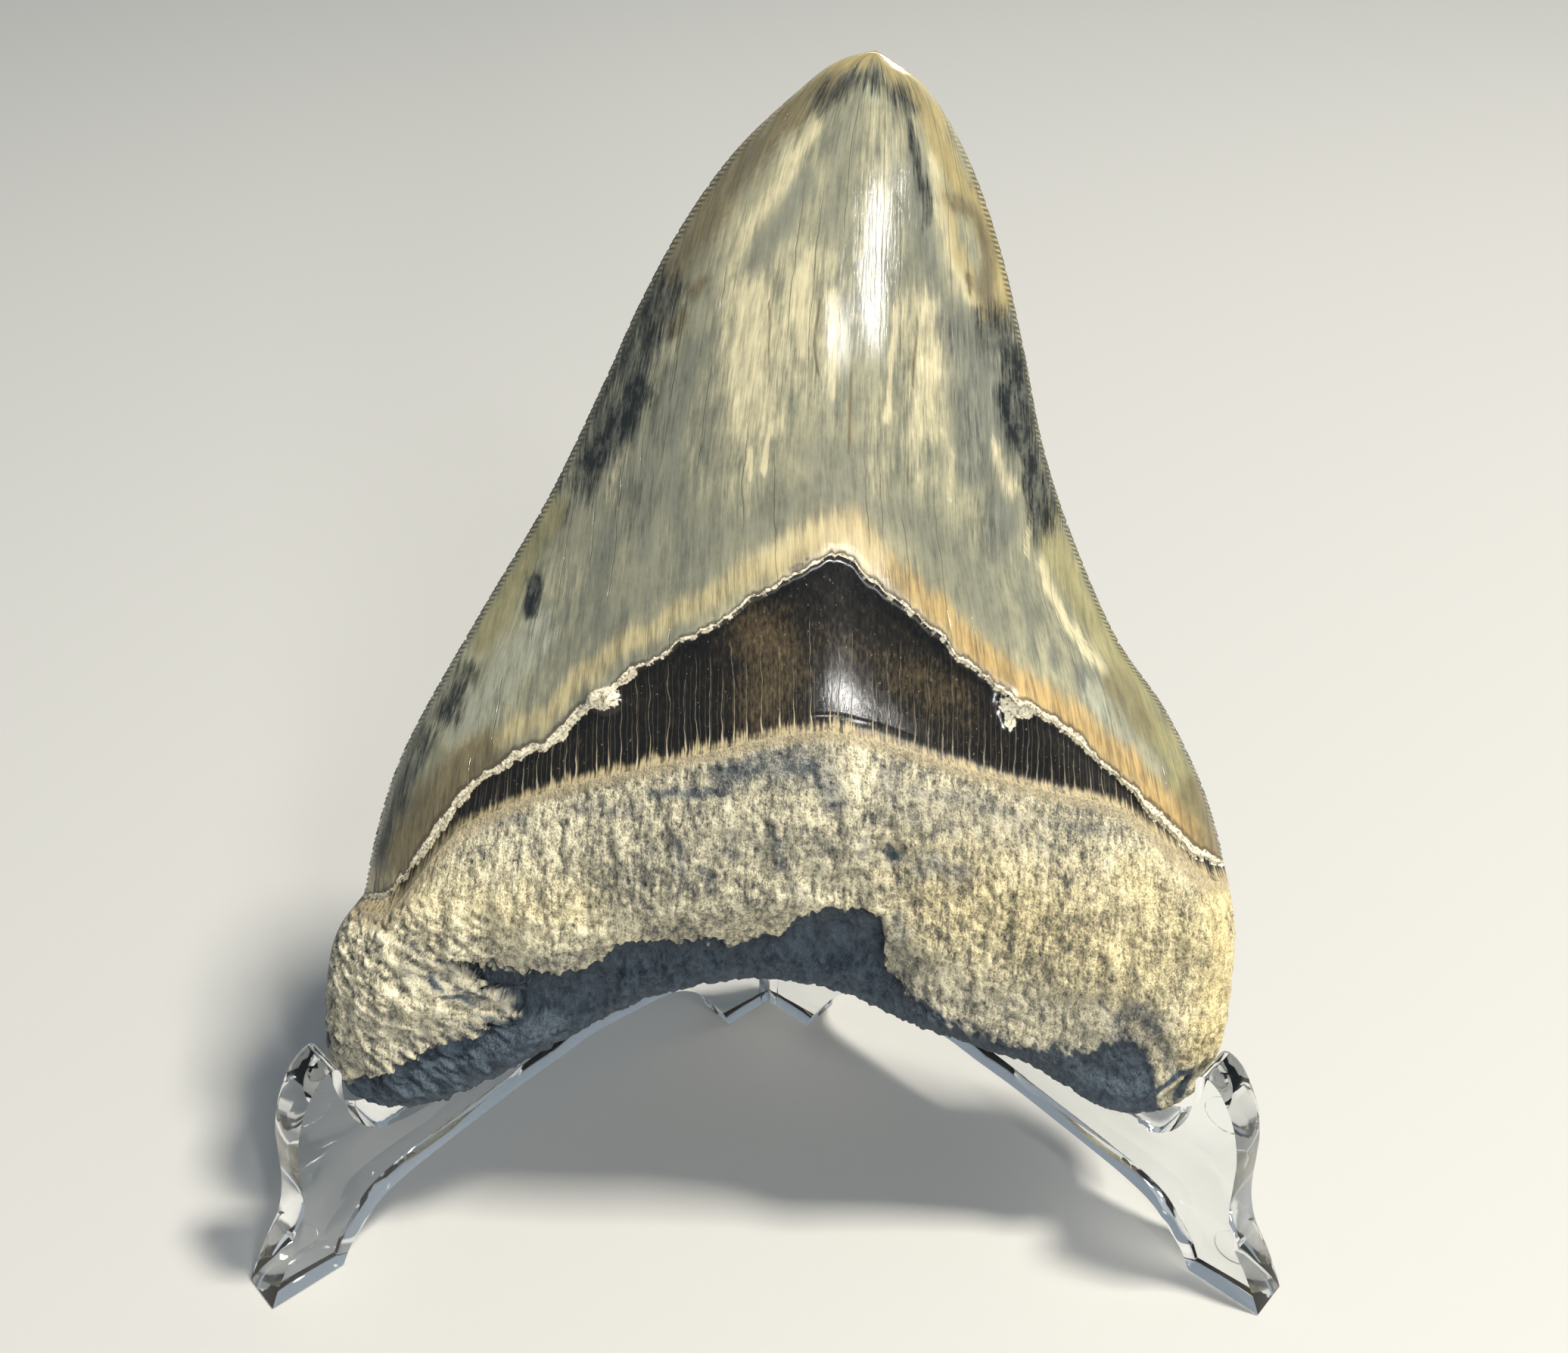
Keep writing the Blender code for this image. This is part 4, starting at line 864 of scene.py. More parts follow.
def tan_band(x):
    """How far over the enamel's border the tan band's middle runs, and its half width."""
    apex = np.exp(-((x - 6) / 9)**2)
    left, wing = ease(2, -8, x), ease(-34, -44, x)
    middle = 1.9 + 0.8 * apex + 1.3 * left - 0.9 * wing
    spread = 1.75 + 1.1 * apex - 0.35 * left + 0.7 * wing
    return middle, spread


# ---- Materials ----

class Finish:
    """One material, built a node at a time. Each method gives back the output it made."""

    def __init__(self, name):
        self.material = bpy.data.materials.new(name)
        self.material.use_nodes = True
        self.tree = self.material.node_tree
        self.shader = self.tree.nodes["Principled BSDF"]

    def feed(self, socket, value):
        if isinstance(value, bpy.types.NodeSocket):
            self.tree.links.new(value, socket)
        elif isinstance(value, tuple) and socket.type == "RGBA":
            socket.default_value = (*value, 1)
        else:
            socket.default_value = value

    def node(self, kind, sockets, **settings):
        """A node with these settings, its sockets fed with values or with other outputs."""
        made = self.tree.nodes.new("ShaderNode" + kind)
        for name, value in settings.items():
            setattr(made, name, value)
        for name, value in sockets.items():
            self.feed(made.inputs[name], value)
        return made

    def mask(self, name):
        return self.node("Attribute", {}, attribute_name=name).outputs["Fac"]

    def pattern(self, scale):
        """The tooth's own coordinates (streak, h, n) in millimetres, times scale."""
        place = self.node("Attribute", {}, attribute_name="pattern").outputs["Vector"]
        return self.node("VectorMath", {0: place, 1: scale}, operation="MULTIPLY").outputs[0]

    def noise(self, scale, detail=3.0, roughness=0.5, distortion=0.0):
        """Noise from 0 to 1, with this many lumps to a millimetre along streak, h and n."""
        return self.node("TexNoise", {
            "Vector": self.pattern(scale), "Scale": 1.0, "Detail": detail,
            "Roughness": roughness, "Distortion": distortion}).outputs["Fac"]

    def lanes(self, per_mm, wander):
        """The distance to the nearest of a row of upright, slightly wavering lines."""
        apart = self.node("SeparateXYZ", {0: self.pattern((per_mm, 0, 0))}).outputs[0]
        place = self.plus(apart, (self.noise((0.35, 0.22, 0.1), 2), wander))
        return self.node("TexVoronoi", {"W": place, "Scale": 1.0}, voronoi_dimensions="1D",
                         feature="DISTANCE_TO_EDGE").outputs["Distance"]

    def math(self, operation, a, b):
        return self.node("Math", {0: a, 1: b}, operation=operation).outputs[0]

    def times(self, a, b):
        return self.math("MULTIPLY", a, b)

    def minus(self, a, b):
        return self.math("SUBTRACT", a, b)

    def plus(self, first, *rest):
        """first plus each (output, weight)."""
        total = first
        for value, weight in rest:
            made = self.node("Math", {0: value, 1: weight, 2: total}, operation="MULTIPLY_ADD")
            total = made.outputs[0]
        return total

    def swings(self, *noises):
        """Each noise as a swing to both sides of 0."""
        return [self.minus(noise, 0.5) for noise in noises]

    def between(self, value, low, high):
        """0 at low, 1 at high, with soft ends. low may be the larger."""
        return self.node("MapRange", {"Value": value, "From Min": low, "From Max": high},
                         interpolation_type="SMOOTHSTEP").outputs["Result"]

    def mix(self, share, a, b, kind="MIX"):
        return self.node("Mix", {0: share, 6: a, 7: b}, data_type="RGBA", blend_type=kind,
                         clamp_factor=True).outputs[2]

    def laid(self, under, over, where, most):
        """over laid on under, as strongly as where times most."""
        return self.mix(self.times(where, most), under, over)

    def ramp(self, value, stops):
        made = self.node("ValToRGB", {0: value})
        elements = made.color_ramp.elements
        while len(elements) < len(stops):
            elements.new(0.5)
        for element, (position, colour) in zip(elements, stops):
            element.position = position
            element.color = (*colour, 1)
        return made.outputs[0]

    def bumps(self, *layers):
        """The surface's slope, bent by each (height, millimetres) in turn."""
        under = {}
        for height, depth in layers:
            sockets = {"Strength": 1.0, "Distance": depth * MM, "Height": height, **under}
            under = {"Normal": self.node("Bump", sockets).outputs[0]}
        return under["Normal"]

    def finish(self, **sockets):
        for name, value in sockets.items():
            self.feed(self.shader.inputs[name.replace("_", " ")], value)
        return self.material


def chalky(f):
    """The white of the broken rim and its crust."""
    return f.ramp(f.noise((2.2, 2.2, 2.2), 3, 0.7), [
        (0.34, (0.12, 0.10, 0.07)), (0.48, (0.68, 0.61, 0.45)), (0.7, (0.93, 0.88, 0.71))])


def stain(f, under, name, low, high, rag, most, tone, torn):
    """Lays a stain from low to high in colour on under. rag is how far its edge is torn."""
    mask = f.mask(name)
    edge = f.times(torn, f.between(mask, 0.0, 0.45))
    over = f.ramp(tone, [(0.15, low), (0.85, high)])
    return f.laid(under, over, f.between(f.plus(mask, (edge, rag)), 0.06, 0.98), most)


def tan_over_neck(f, ragged, grained):
    """The colour of the tan band along the enamel's border, and where it shows."""
    warm, mask = f.mask("rightward"), f.mask("tan")
    low = f.mix(warm, (0.20, 0.170, 0.095), (0.21, 0.142, 0.062))
    high = f.mix(warm, (0.50, 0.425, 0.235), (0.50, 0.350, 0.145))
    tan = f.mix(f.between(grained, 0.1, 0.85), low, high)
    tan = f.laid(tan, (0.66, 0.555, 0.325), f.mask("cream"), 0.6)
    return tan, f.between(f.plus(mask, (f.times(ragged, mask), 0.3)), 0.02, 1.0)


def enamel_colour(f, woven):
    """Grey enamel with its stains and the tan band."""
    ragged = woven(0.0, 1.3, 0.9, 1.2, 0.0, 1.6)
    smoky = woven(0.0, 0.8, 0.6, 0.0, 0.0, 1.4, 1.8)
    feathered = woven(0.0, -1.0, -0.8, -0.9, 0.0, -0.5, 1.7)
    streaky = woven(0.5, 0.72, 0.58, 0.5, 0.0, 0.6, 0.35)
    blotchy = woven(0.27, 0.7, 0.6, 0.0, 0.0, 1.5, 1.9)
    grained = woven(0.5, 0.9, 0.7, 1.1, 0.0, 0.7)
    tone = woven(0.44, 0.46, 0.30, 0.52, 0.60, 0.52, 0.34)
    colour = f.ramp(tone, [(0.10, (0.085, 0.092, 0.078)), (0.38, (0.190, 0.190, 0.136)),
                           (0.58, (0.315, 0.300, 0.198)), (0.90, (0.53, 0.49, 0.31))])
    for name, low, high, rag, most in (
            ("slate", (0.060, 0.067, 0.062), (0.205, 0.21, 0.170), 0.6, 0.85),
            ("cream", (0.36, 0.325, 0.205), (0.68, 0.61, 0.395), 0.45, 0.88),
            ("pale", (0.18, 0.19, 0.150), (0.41, 0.42, 0.325), 0.9, 0.75),
            ("gold", (0.18, 0.145, 0.060), (0.37, 0.30, 0.140), 0.5, 0.9),
            ("olive", (0.135, 0.125, 0.060), (0.33, 0.30, 0.155), 0.7, 0.85)):
        colour = stain(f, colour, name, low, high, rag, most, streaky, ragged)
    tan, shows = tan_over_neck(f, ragged, grained)
    colour = f.laid(colour, tan, shows, 0.92)
    colour = stain(f, colour, "umber", (0.045, 0.038, 0.022), (0.19, 0.155, 0.085), 0.8, 0.9,
                   streaky, smoky)
    return stain(f, colour, "charcoal", (0.006, 0.008, 0.009), (0.120, 0.125, 0.105), 0.8, 0.97,
                 blotchy, feathered)


def cracks_and_edges(f, colour):
    """Hairline cracks that run down the crown, the thin edge that lets light through, and painted shade
    in the notches between its serrations. Gives back the colour, the cracks and the gaps."""
    cracked = f.between(f.noise((0.16, 0.045, 0.1), 1), 0.50, 0.60)
    hair = f.times(f.between(f.lanes(0.30, 0.30), 0.035, 0.008), cracked)
    colour = f.laid(colour, (0.07, 0.06, 0.04), hair, 0.35)
    from_edge, row = f.mask("from_edge"), f.mask("row")
    colour = f.laid(colour, (0.42, 0.37, 0.24), f.between(from_edge, 0.7, 0.1), 0.3)
    turn = f.math("COSINE", f.times(row, 2 * math.pi * SERRATIONS), 0.0)
    serrated = f.times(f.between(from_edge, 0.95, 0.35), f.between(row, 0.07, 0.2))
    serrated = f.times(serrated, f.between(row, 1.0, 0.995))
    # Painted shade in the notches between the serrations
    gap = f.times(serrated, f.between(turn, 0.35, -0.45))
    return f.laid(colour, (0.026, 0.026, 0.022), gap, 0.7), hair, gap


def broken_rim(f, colour):
    """The chalky broken rim over the neck, with a dark line over it. Gives back the colour, the
    chalk and its grain."""
    grain = f.noise((1.5, 1.5, 1.5), 4, 0.7)
    width = f.plus(0.12, (f.noise((0.5, 0, 0), 2), 0.55), (f.mask("wide_rim"), 0.6))
    over = f.plus(f.mask("over_border"), (f.minus(grain, 0.5), -0.9))
    share = f.math("DIVIDE", over, width)
    chalk = f.math("MAXIMUM", f.between(share, 1.05, 0.85), f.between(f.mask("crust"), 0.40, 0.6))
    colour = f.laid(colour, (0.055, 0.035, 0.018), f.between(share, 2.0, 1.25), 0.72)
    return f.mix(chalk, colour, chalky(f)), chalk, grain


def enamel():
    """Polished enamel: grey with cream streaks and stains, a tan band, and a chalky broken rim."""
    f = Finish("enamel")
    fine = f.noise((3.2, 0.26, 0.5), 3, 0.6)
    hairs = f.noise((6.0, 0.4, 0.8), 2)
    middling = f.noise((1.0, 0.08, 0.2), 3, 0.55, 0.15)
    cloud = f.noise((0.10, 0.055, 0.1), 2)
    mottle = f.noise((0.42, 0.24, 0.3), 4, 0.6)
    smoke = f.noise((0.75, 0.45, 0.5), 5, 0.68)
    swings = f.swings(fine, hairs, middling, cloud, mottle, smoke)

    def woven(base, *weights):
        """base plus these weights of the six noises."""
        return f.plus(base, *zip(swings, weights))

    colour, hair, gap = cracks_and_edges(f, enamel_colour(f, woven))
    colour, chalk, grain = broken_rim(f, colour)
    near_rim = f.between(f.mask("over_border"), 2.0, 0.4)
    rough = f.plus(0.07, (middling, 0.05), (fine, 0.05), (near_rim, 0.25), (chalk, 0.4))
    normal = f.bumps((f.plus(0.0, (fine, 1.0), (middling, 1.0), (hairs, 0.5)), 0.014),
                     (f.times(hair, -1.0), 0.05), (f.times(gap, -1.0), 0.12),
                     (f.times(grain, chalk), 0.4))
    return f.finish(Base_Color=colour, Roughness=rough, Normal=normal, IOR=1.6)


def neck_cracks(f, colour, over, fine):
    """Upright cracks: wide ones that reach up from the root's rim, and hairs all over. Gives back
    the colour and the wide ones."""
    low = f.between(over, 5.0, 0.0)
    reach = f.plus(2.0, (f.noise((0.42, 0.0, 0.0), 0), 17.0))
    seen = f.between(f.minus(reach, over), -1.0, 2.5)
    width = f.plus(0.030, (f.math("POWER", low, 2.0), 0.055), (f.minus(fine, 0.5), 0.08))
    crack = f.times(f.between(f.lanes(0.56, 0.6), width, f.times(width, 0.4)), seen)
    crack = f.times(crack, f.plus(0.06, (f.mask("fringe"), 0.94)))
    hair = f.times(f.between(f.lanes(1.25, 0.8), 0.10, 0.02), f.between(over, 14.0, 2.0))
    colour = f.laid(colour, (0.16, 0.14, 0.10), hair, f.times(fine, 0.55))
    pale = f.mix(low, (0.26, 0.225, 0.165), (0.50, 0.42, 0.27))
    return f.laid(colour, pale, crack, f.plus(0.50, (low, 0.5))), crack


def neck_fringe(f, over, fine):
    """The brushy tan fringe along the root's rim: its colour, and where it is."""
    patchy = f.between(f.noise((0.22, 0.0, 0.0), 1), 0.3, 0.65)
    tall = f.times(f.mask("fringe"), f.plus(0.1, (patchy, 1.0)))
    brush = f.noise((2.3, 0.05, 0.0), 3, 0.7)
    height = f.times(f.plus(-2.3, (brush, 7.0)), tall)
    height = f.math("MAXIMUM", height, f.plus(-0.75, (brush, 2.7)))
    above_rim = f.mix(fine, (0.060, 0.040, 0.018), (0.26, 0.19, 0.095))
    at_rim = f.mix(fine, (0.20, 0.155, 0.080), (0.58, 0.49, 0.29))
    hue = f.mix(f.between(over, 2.0, 0.3), above_rim, at_rim)
    mottled = f.between(f.plus(fine, (brush, 0.5)), 0.80, 0.55)
    hue = f.mix(mottled, hue, (0.105, 0.085, 0.052))
    return hue, f.between(f.minus(height, over), -0.3, 0.8)


def neck_crumbs(f, over_border):
    """Where chalk crumbs lie below the enamel's broken rim."""
    crumbly = f.minus(f.noise((1.1, 1.1, 1.1), 4, 0.7), 0.5)
    crusted = f.between(f.plus(f.mask("crust"), (crumbly, 1.3)), 0.42, 0.60)
    broken = f.plus(over_border, (crumbly, 1.5), (f.mask("wide_rim"), 0.12))
    return f.math("MAXIMUM", crusted, f.between(broken, -0.38, -0.24))


def neck():
    """The dark band between enamel and root: glossy, near black, with pale upright cracks, a
    brushy tan fringe along the root's rim, pale flecks and chalk crumbs."""
    f = Finish("neck_band")
    over, over_border = f.mask("over_rim"), f.mask("over_border")
    fine = f.noise((2.6, 0.9, 1.0), 4, 0.65)
    broad = f.noise((0.12, 0.16, 0.2), 2)
    tone = f.plus(0.02, (fine, 0.80), (broad, 0.16), (f.mask("neck_warm"), 0.29))
    colour = f.ramp(tone, [(0.46, (0.005, 0.0045, 0.004)), (0.62, (0.015, 0.012, 0.008)),
                           (0.78, (0.056, 0.041, 0.022)), (0.95, (0.13, 0.098, 0.052))])
    colour, crack = neck_cracks(f, colour, over, fine)
    hue, fringe = neck_fringe(f, over, fine)
    colour = f.mix(fringe, colour, hue)
    flecks = f.between(f.noise((3.0, 2.0, 1.0), 2), 0.69, 0.75)
    colour = f.laid(colour, (0.36, 0.32, 0.24), flecks, 0.4)
    crusted = neck_crumbs(f, over_border)
    colour = f.mix(crusted, colour, chalky(f))
    rough = f.plus(0.07, (fine, 0.13), (crack, 0.3), (fringe, 0.3), (f.between(over, 1.6, 0.3), 0.3),
                   (f.between(over_border, -0.85, -0.35), 0.25), (crusted, 0.5))
    normal = f.bumps((f.plus(0.0, (fine, 1.0), (broad, 1.5)), 0.013), (f.times(crack, -1.0), 0.04))
    return f.finish(Base_Color=colour, Roughness=rough, Normal=normal, IOR=1.5)


def root():
    """The root: cream and tan bone over slate-grey hollows, partly slate stain and partly painted shade,
    with a near-black painted shadow in the deep hollow along its foot, and a smooth tan rim.
    """
    f = Finish("root_bone")
    skin, hollow, over_rim = f.mask("skin"), f.mask("hollow"), f.mask("over_rim")
    grain = f.noise((2.1, 1.3, 1.7), 4, 0.7)
    speck = f.noise((4.2, 3.0, 3.6), 2, 0.6)
    fibre = f.noise((1.7, 0.36, 0.6), 3, 0.6, 0.3)
    cloud = f.noise((0.16, 0.13, 0.13), 3)
    grains, specks, fibres, clouds = f.swings(grain, speck, fibre, cloud)
    # The tone follows the skin's height: darker in its grooves and lighter on its crests, a painted shade
    # of the relief
    tone = f.plus(0.53, (skin, 0.66), (grains, 1.0), (specks, 0.95), (fibres, 1.15), (clouds, 0.65),
                  (f.mask("root_pale"), 0.20))
    colour = f.ramp(tone, [(0.0, (0.045, 0.046, 0.045)), (0.22, (0.135, 0.135, 0.118)),
                           (0.42, (0.30, 0.275, 0.202)), (0.60, (0.52, 0.47, 0.322)),
                           (0.78, (0.74, 0.68, 0.482)), (1.0, (0.90, 0.85, 0.64))])
    yellowed = f.mix(1.0, colour, (1.0, 0.87, 0.54), "MULTIPLY")
    colour = f.laid(colour, yellowed, f.mask("root_yellow"), 0.65)

    # Slate stain and painted shade in the hollows, and a near-black painted shadow in the deep one,
    # darkest under its upper edge
    slate = f.mix(f.between(tone, 0.25, 0.85), (0.060, 0.068, 0.072), (0.42, 0.40, 0.32))
    partly = f.between(f.plus(hollow, (grains, 1.2), (fibres, 1.1), (specks, 0.6)), 0.10, 0.75)
    colour = f.laid(colour, slate, partly, 0.85)
    painted_shadow_colour = f.mix(f.between(f.plus(0.5, (skin, 0.8), (grains, 1.2)), 0.1, 0.9),
                   (0.014, 0.024, 0.038), (0.076, 0.108, 0.140))
    painted_shadow_colour = f.laid(painted_shadow_colour, (0.007, 0.012, 0.019), f.mask("shade"), 0.85)
    deep = f.between(f.plus(hollow, (grains, 0.5), (fibres, 0.4), (skin, -0.35)), 0.55, 1.20)
    colour = f.mix(deep, colour, painted_shadow_colour)

    rim = f.times(f.between(over_rim, -1.6, -0.8), f.between(over_rim, 0.9, 0.3))
    rim_colour = f.mix(speck, (0.28, 0.215, 0.12), (0.58, 0.49, 0.31))
    colour = f.laid(colour, rim_colour, rim, f.plus(0.15, (grain, 1.1)))
    rough = f.plus(0.45, (grain, 0.25), (rim, -0.1))
    normal = f.bumps((f.plus(0.0, (grain, 1.0), (fibre, 0.6)), 0.50), (speck, 0.18))
    return f.finish(Base_Color=colour, Roughness=rough, Normal=normal, IOR=1.5)


def plastic(name, tint, roughness):
    f = Finish(name)
    return f.finish(Base_Color=tint, Roughness=roughness, Transmission_Weight=1.0, IOR=1.49)


# ---- The easel ----

ARM_ANGLE = math.radians(48.58)   # from straight ahead out to each arm
PLATE = 6
REST_N = -6.75                    # the uprights' front edges lie just behind the tooth's back
UPRIGHT_TOP = 82
SHOULDER = 7                      # the curve at the upright's top starts this far below it
# One arm's outline, (s, z), s outwards from the hinge line
TOE_TO_CRADLE = [(87.2, 0), (86, 2.6), (84, 6.1), (81.9, 9.2), (80.7, 12.4), (80.1, 16), (79.9, 20.4),
                 (79.6, 24.5), (78.6, 28.6), (77.2, 31.6), (75.3, 34.2), (73.2, 35.2), (72.1, 34.1),
                 (72.3, 31.8), (72.3, 29), (71.8, 26.2), (70.5, 23.4), (68.2, 21.2), (64.5, 20.1), (59, 20),
                 (53, 20), (47.5, 20), (44, 20.4), (41.6, 21.9), (40.1, 24.2)]
UPRIGHT_END = [(8.2, 81.9), (3.6, 82.3), (1.2, 81.2), (0.2, 78.6)]
UNDERSIDE = [(8.2, 0), (8.6, 1.5), (10.7, 5.4), (13.3, 9.4), (16, 12.3), (20, 14.2), (27, 14.9),
             (33.7, 15.3), (39.5, 14.5), (46, 13.7), (52.5, 12.5), (59.2, 11.2), (65.3, 9.8),
             (69.9, 7.9), (73.4, 4.6), (75.2, 2.6), (76.6, 0)]
PIN_Y = 3.3
BARREL_RADIUS = 3.1
PIN_RADIUS, PIN_HEAD = 1.25, 2.1
PLAY = 0.35
LEFT_BARRELS = [(8, 27), (59, 78)]
RIGHT_BARRELS = [(27.4, 58.6)]
PIN_FOOT, PIN_TOP = 7.2, 79.8

EDGE_ROUND = 0.5                  # the moulded arms' softened edges
WELD = 0.00001                    # vertices closer than this are joined, in metres
ROUND_STEPS = 64
EJECTOR_RADIUS, EJECTOR_DEPTH = 2.75, 0.18
EJECTORS = [(75.7, 27.6), (80.6, 5.5)]    # (s, z) of the round marks on each arm's outer face


def rest_s(z):
    """The uprights' front edge: where the plane just behind the tooth meets an arm."""
    y = FOOT_Y + (z - FOOT_Z - REST_N * math.sin(LEAN)) * math.tan(LEAN) - REST_N * math.cos(LEAN)
    return -y / math.cos(ARM_ANGLE)


def arm_outline():
    upright = [(rest_s(z), z) for z in (27, 45, 62, UPRIGHT_TOP - SHOULDER)]
    shoulder = [upright[-1], (rest_s(UPRIGHT_TOP) + 0.2, UPRIGHT_TOP - 2)]
    front = smooth_path(TOE_TO_CRADLE + upright[:1], 6)
    top = smooth_path(shoulder + UPRIGHT_END, 8)
    under = smooth_path(UNDERSIDE, 6)
    rear = [(0.2, 0)]
    return [*front, *upright[1:-1], *top, *rear, *under]


def arm_frame(hand):
    """An arm's own x, y and z: its outward run, up, and across its thickness. The origin is on
    the hinge line, in the middle of the thickness."""
    outward = Vector((hand * math.sin(ARM_ANGLE), -math.cos(ARM_ANGLE), 0))
    up = Vector((0, 0, 1))
    behind = Vector((hand * math.cos(ARM_ANGLE), math.sin(ARM_ANGLE), 0))
    place = Matrix((outward, up, outward.cross(up))).transposed().to_4x4()
    place.translation = Vector((0, HINGE_Y * MM, 0)) + behind * PLATE / 2 * MM
    return place


def polished(name, mesh, finish, crease):
    """Shows a mesh in this finish, smooth but for edges sharper than crease, in degrees."""
    mesh.shade_smooth()
    mesh.set_sharp_from_angle(angle=math.radians(crease))
    mesh.materials.clear()
    mesh.materials.append(finish)
    return shown(name, mesh)


def arm_plate(name, hand):
    """An arm's flat plate, without its barrels."""
    curve = bpy.data.curves.new(name, "CURVE")
    curve.dimensions = "2D"
    curve.fill_mode = "BOTH"
    curve.extrude = PLATE / 2 * MM
    outline = arm_outline()
    spline = curve.splines.new("POLY")
    spline.points.add(len(outline) - 1)
    for point, (s, z) in zip(spline.points, outline):
        point.co = (s * MM, z * MM, 0, 1)
    spline.use_cyclic_u = True
    plate = shown(name, curve)
    plate.matrix_world = arm_frame(hand)
    return shown(name, turned_out(applied(plate), WELD))


def cylinder(radius, low, high, place):
    """A closed round bar along z of the given frame, from low to high."""
    made = bmesh.new()
    middle = Matrix.Translation((0, 0, (low + high) / 2 * MM))
    bmesh.ops.create_cone(made, cap_ends=True, segments=ROUND_STEPS, radius1=radius * MM,
                          radius2=radius * MM, depth=(high - low) * MM, matrix=place @ middle)
    mesh = bpy.data.meshes.new("tool")
    made.to_mesh(mesh)
    made.free()
    return shown("tool", mesh)


def combine(target, tool, operation):
    cut = target.modifiers.new("cut", "BOOLEAN")
    cut.operation = operation
    cut.object = tool
    cut.solver = "EXACT"


def make_arm(name, hand, own, other, finish):
    """A plate with rounded edges, its own barrels joined on, cleared for the other arm's and
    bored, with two round ejector marks on its outer face."""
    arm = arm_plate(name, hand)
    soften = arm.modifiers.new("soften", "BEVEL")
    soften.width = EDGE_ROUND * MM
    soften.segments = 3
    soften.limit_method = "ANGLE"
    soften.angle_limit = math.radians(60)
    hinge = Matrix.Translation((0, (HINGE_Y + PIN_Y) * MM, 0))
    tools = [(cylinder(BARREL_RADIUS + PLAY, low - PLAY, high + PLAY, hinge), "DIFFERENCE")
             for low, high in other]
    tools += [(cylinder(BARREL_RADIUS, low, high, hinge), "UNION") for low, high in own]
    tools.append((cylinder(PIN_RADIUS + PLAY, -1, UPRIGHT_TOP + 4, hinge), "DIFFERENCE"))
    outer = 1 if arm_frame(hand).to_3x3().col[2].x * hand > 0 else -1
    for s, z in EJECTORS:
        face = arm_frame(hand) @ Matrix.Translation((s * MM, z * MM, outer * PLATE / 2 * MM))
        tools.append((cylinder(EJECTOR_RADIUS, -EJECTOR_DEPTH, EJECTOR_DEPTH, face), "DIFFERENCE"))
    for tool, operation in tools:
        combine(arm, tool, operation)
    mesh = applied(arm)
    for tool, operation in tools:
        bpy.data.objects.remove(tool)
    return polished(name, mesh, finish, 35)


def make_pin(finish):
    """The pin, turned about its axis: a domed head, its underside and a chamfered foot."""
    shoulder = LEFT_BARRELS[-1][1] + PLAY
    profile = [(0, PIN_TOP), (PIN_HEAD * 0.5, PIN_TOP - 0.05), (PIN_HEAD * 0.8, PIN_TOP - 0.2),
               (PIN_HEAD, PIN_TOP - 0.6), (PIN_HEAD, shoulder), (PIN_RADIUS, shoulder),
               (PIN_RADIUS, PIN_FOOT + 0.4), (PIN_RADIUS - 0.3, PIN_FOOT), (0, PIN_FOOT)]
    mesh = bpy.data.meshes.new("turned_pin")
    mesh.from_pydata([(r * MM, 0, z * MM) for r, z in profile],
                     [(i, i + 1) for i in range(len(profile) - 1)], [])
    pin = shown("turned_pin", mesh)
    pin.location = (0, (HINGE_Y + PIN_Y) * MM, 0)
    turn = pin.modifiers.new("turn", "SCREW")
    turn.steps = turn.render_steps = ROUND_STEPS
    turn.use_merge_vertices = True
    turn.merge_threshold = WELD
    return polished("turned_pin", turned_out(applied(pin)), finish, 40)


# ---- The studio ----

CAMERA_AT = (-1.25, -175.73, 200)
CAMERA_TURN, CAMERA_DOWN, CAMERA_ROLL = math.radians(0.796), math.radians(34.3), math.radians(1.04)
CAMERA_LENS, SENSOR = 40.0, 36
FLOOR_HALF = 2.5                        # in metres, as all places of lights are
FLOOR_Z = -0.0002
FLOOR_COLOUR = (0.45, 0.45, 0.44)
AIM = (0, 0, 0.06)                      # where every light faces
GLINT_COLOUR = (1.0, 0.98, 0.94)
SKY_COLOUR, SKY_STRENGTH = (0.74, 0.87, 1.0), 0.33


def add_camera():
    ahead = Vector((math.sin(CAMERA_TURN), math.cos(CAMERA_TURN), 0))
    forward = ahead * math.cos(CAMERA_DOWN) - Vector((0, 0, math.sin(CAMERA_DOWN)))
    level = Vector((math.cos(CAMERA_TURN), -math.sin(CAMERA_TURN), 0))
    upright = level.cross(forward)
    right = level * math.cos(CAMERA_ROLL) + upright * math.sin(CAMERA_ROLL)
    up = upright * math.cos(CAMERA_ROLL) - level * math.sin(CAMERA_ROLL)
    data = bpy.data.cameras.new("camera")
    data.lens, data.sensor_width, data.clip_start = CAMERA_LENS, SENSOR, 0.01
    camera = shown("camera", data)
    camera.matrix_world = Matrix.Translation(Vector(CAMERA_AT) * MM) @ Matrix(
        (right, up, -forward)).transposed().to_4x4()
    bpy.context.scene.camera = camera


def around(azimuth, elevation, distance):
    """A place around the tooth: degrees to the right of straight ahead, degrees up, metres."""
    turn, rise = math.radians(azimuth), math.radians(elevation)
    return (distance * math.sin(turn) * math.cos(rise), -distance * math.cos(turn) * math.cos(rise),
            AIM[2] + distance * math.sin(rise))


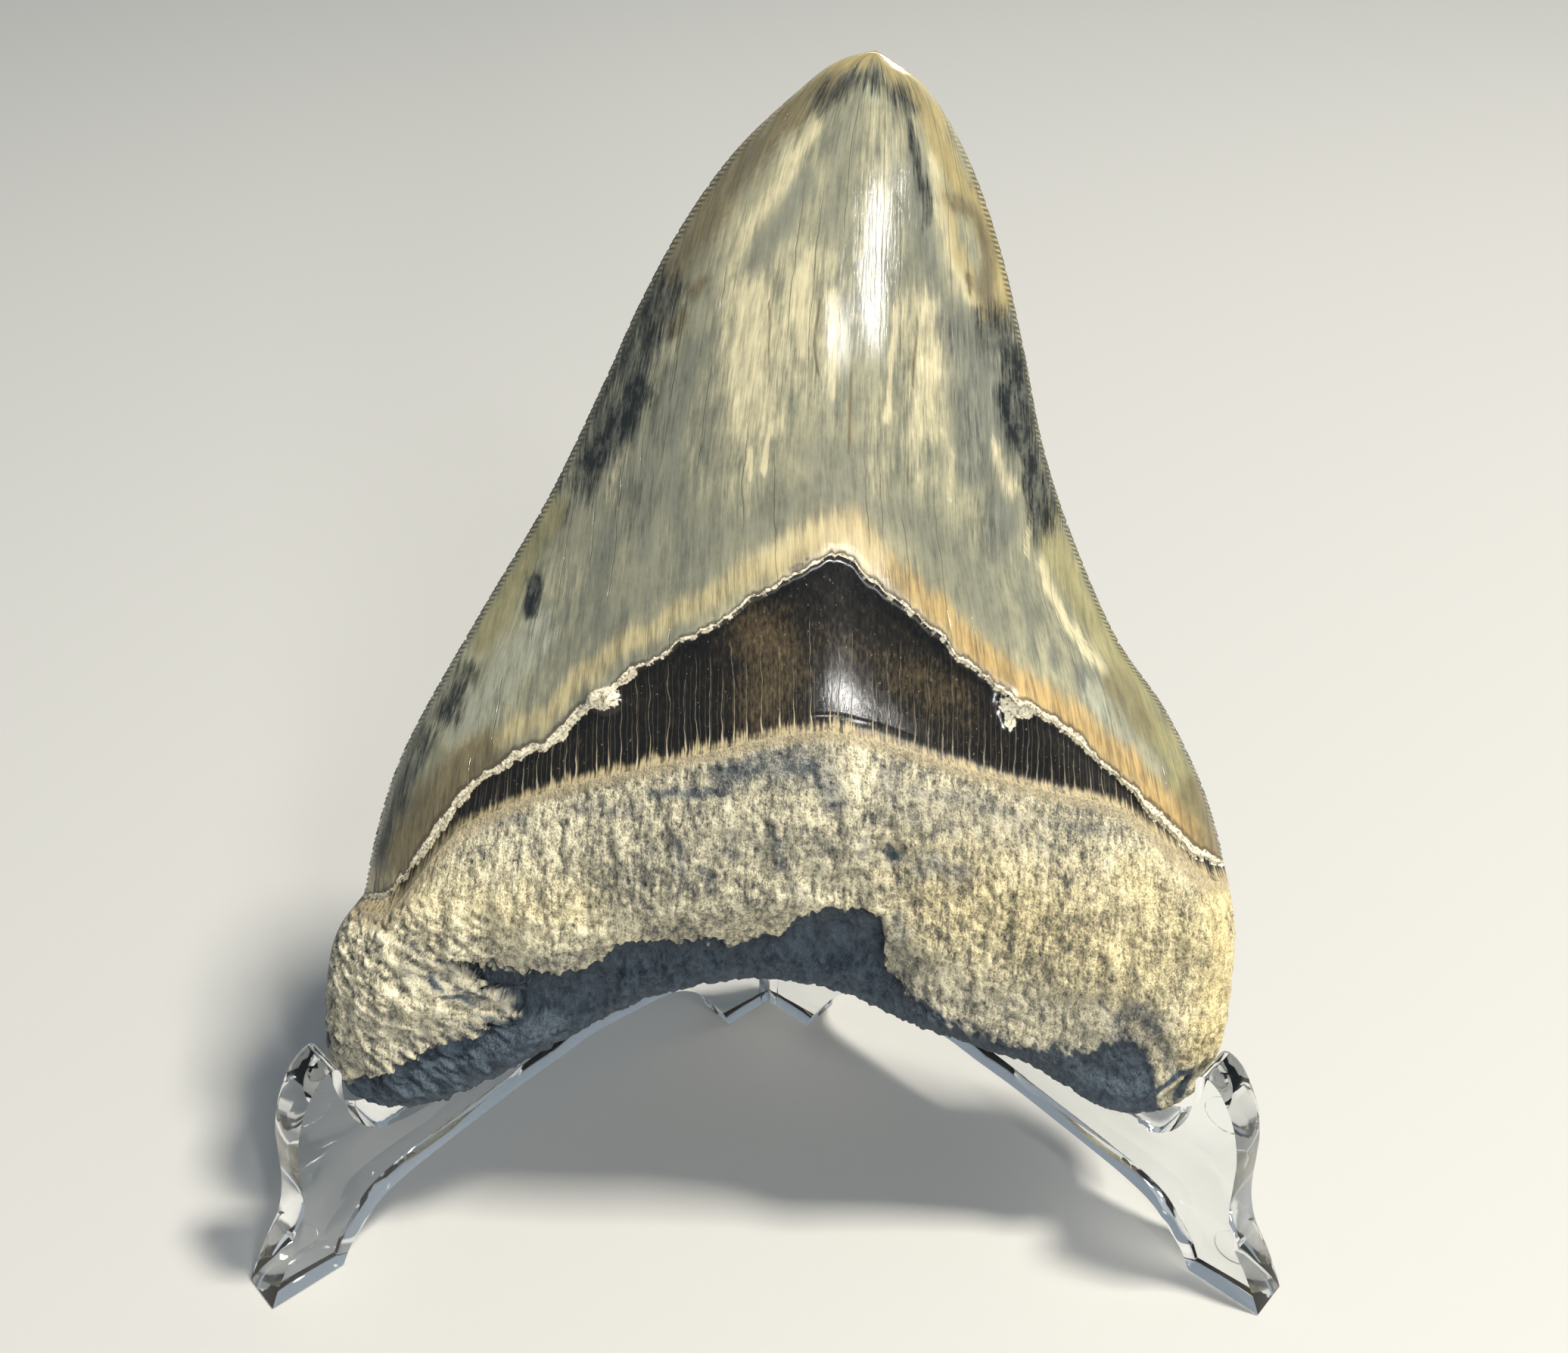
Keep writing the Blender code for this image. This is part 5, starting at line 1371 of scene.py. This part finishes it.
# Each light's name, place, width and height, power in watts and colour
LIGHTS = [
    ("key", (0.74, -0.05, 1.46), (0.24, 0.24), 40.5, (1.0, 0.94, 0.82)),
    ("crown_glint", around(24, 41.3, 0.8), (0.036, 0.165), 1.35, GLINT_COLOUR),
    ("second_glint", around(7, 38, 0.8), (0.010, 0.05), 0.30, GLINT_COLOUR),
    ("neck_glint", around(14, 16.5, 0.8), (0.11, 0.05), 2.0, GLINT_COLOUR),
    ("right_fill", around(75, 35, 2.2), (1.6, 1.6), 2.0, (1.0, 0.97, 0.92)),
]


def add_lights():
    for name, place, size, power, colour in LIGHTS:
        data = bpy.data.lights.new(name, "AREA")
        data.shape = "RECTANGLE"
        data.size, data.size_y = size
        data.energy = power
        data.color = colour
        light = shown(name, data)
        light.location = place
        light.rotation_euler = (Vector(AIM) - Vector(place)).to_track_quat("-Z", "Y").to_euler()


def add_floor():
    mesh = bpy.data.meshes.new("floor")
    half = FLOOR_HALF
    mesh.from_pydata([(-half, -half, 0), (half, -half, 0), (half, half, 0), (-half, half, 0)],
                     [], [(0, 1, 2, 3)])
    mesh.materials.append(Finish("floor").finish(Base_Color=FLOOR_COLOUR, Roughness=0.6))
    floor = shown("floor", mesh)
    floor.location.z = FLOOR_Z


def add_surroundings():
    world = bpy.data.worlds.new("studio")
    world.use_nodes = True
    sky = world.node_tree.nodes["Background"]
    sky.inputs["Color"].default_value = (*SKY_COLOUR, 1)
    sky.inputs["Strength"].default_value = SKY_STRENGTH
    bpy.context.scene.world = world
    bpy.context.scene.view_settings.view_transform = "Standard"


# ---- The scene ----

tooth = make_tooth()
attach(tooth, "root")
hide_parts("megalodon_tooth")

clear = plastic("clear_plastic", (0.96, 0.98, 0.985), 0.03)
for name, hand, own, other in (("left", -1, LEFT_BARRELS, RIGHT_BARRELS),
                               ("right", 1, RIGHT_BARRELS, LEFT_BARRELS)):
    arm = make_arm(f"clear_arm_{name}", hand, own, other, clear)
    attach(arm, "root")
    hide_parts(f"easel_arm_{name}")

pin = make_pin(plastic("pin_plastic", (0.93, 0.95, 0.97), 0.08))
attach(pin, "root")
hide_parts("hinge_pin")

add_floor()
add_camera()
add_lights()
add_surroundings()
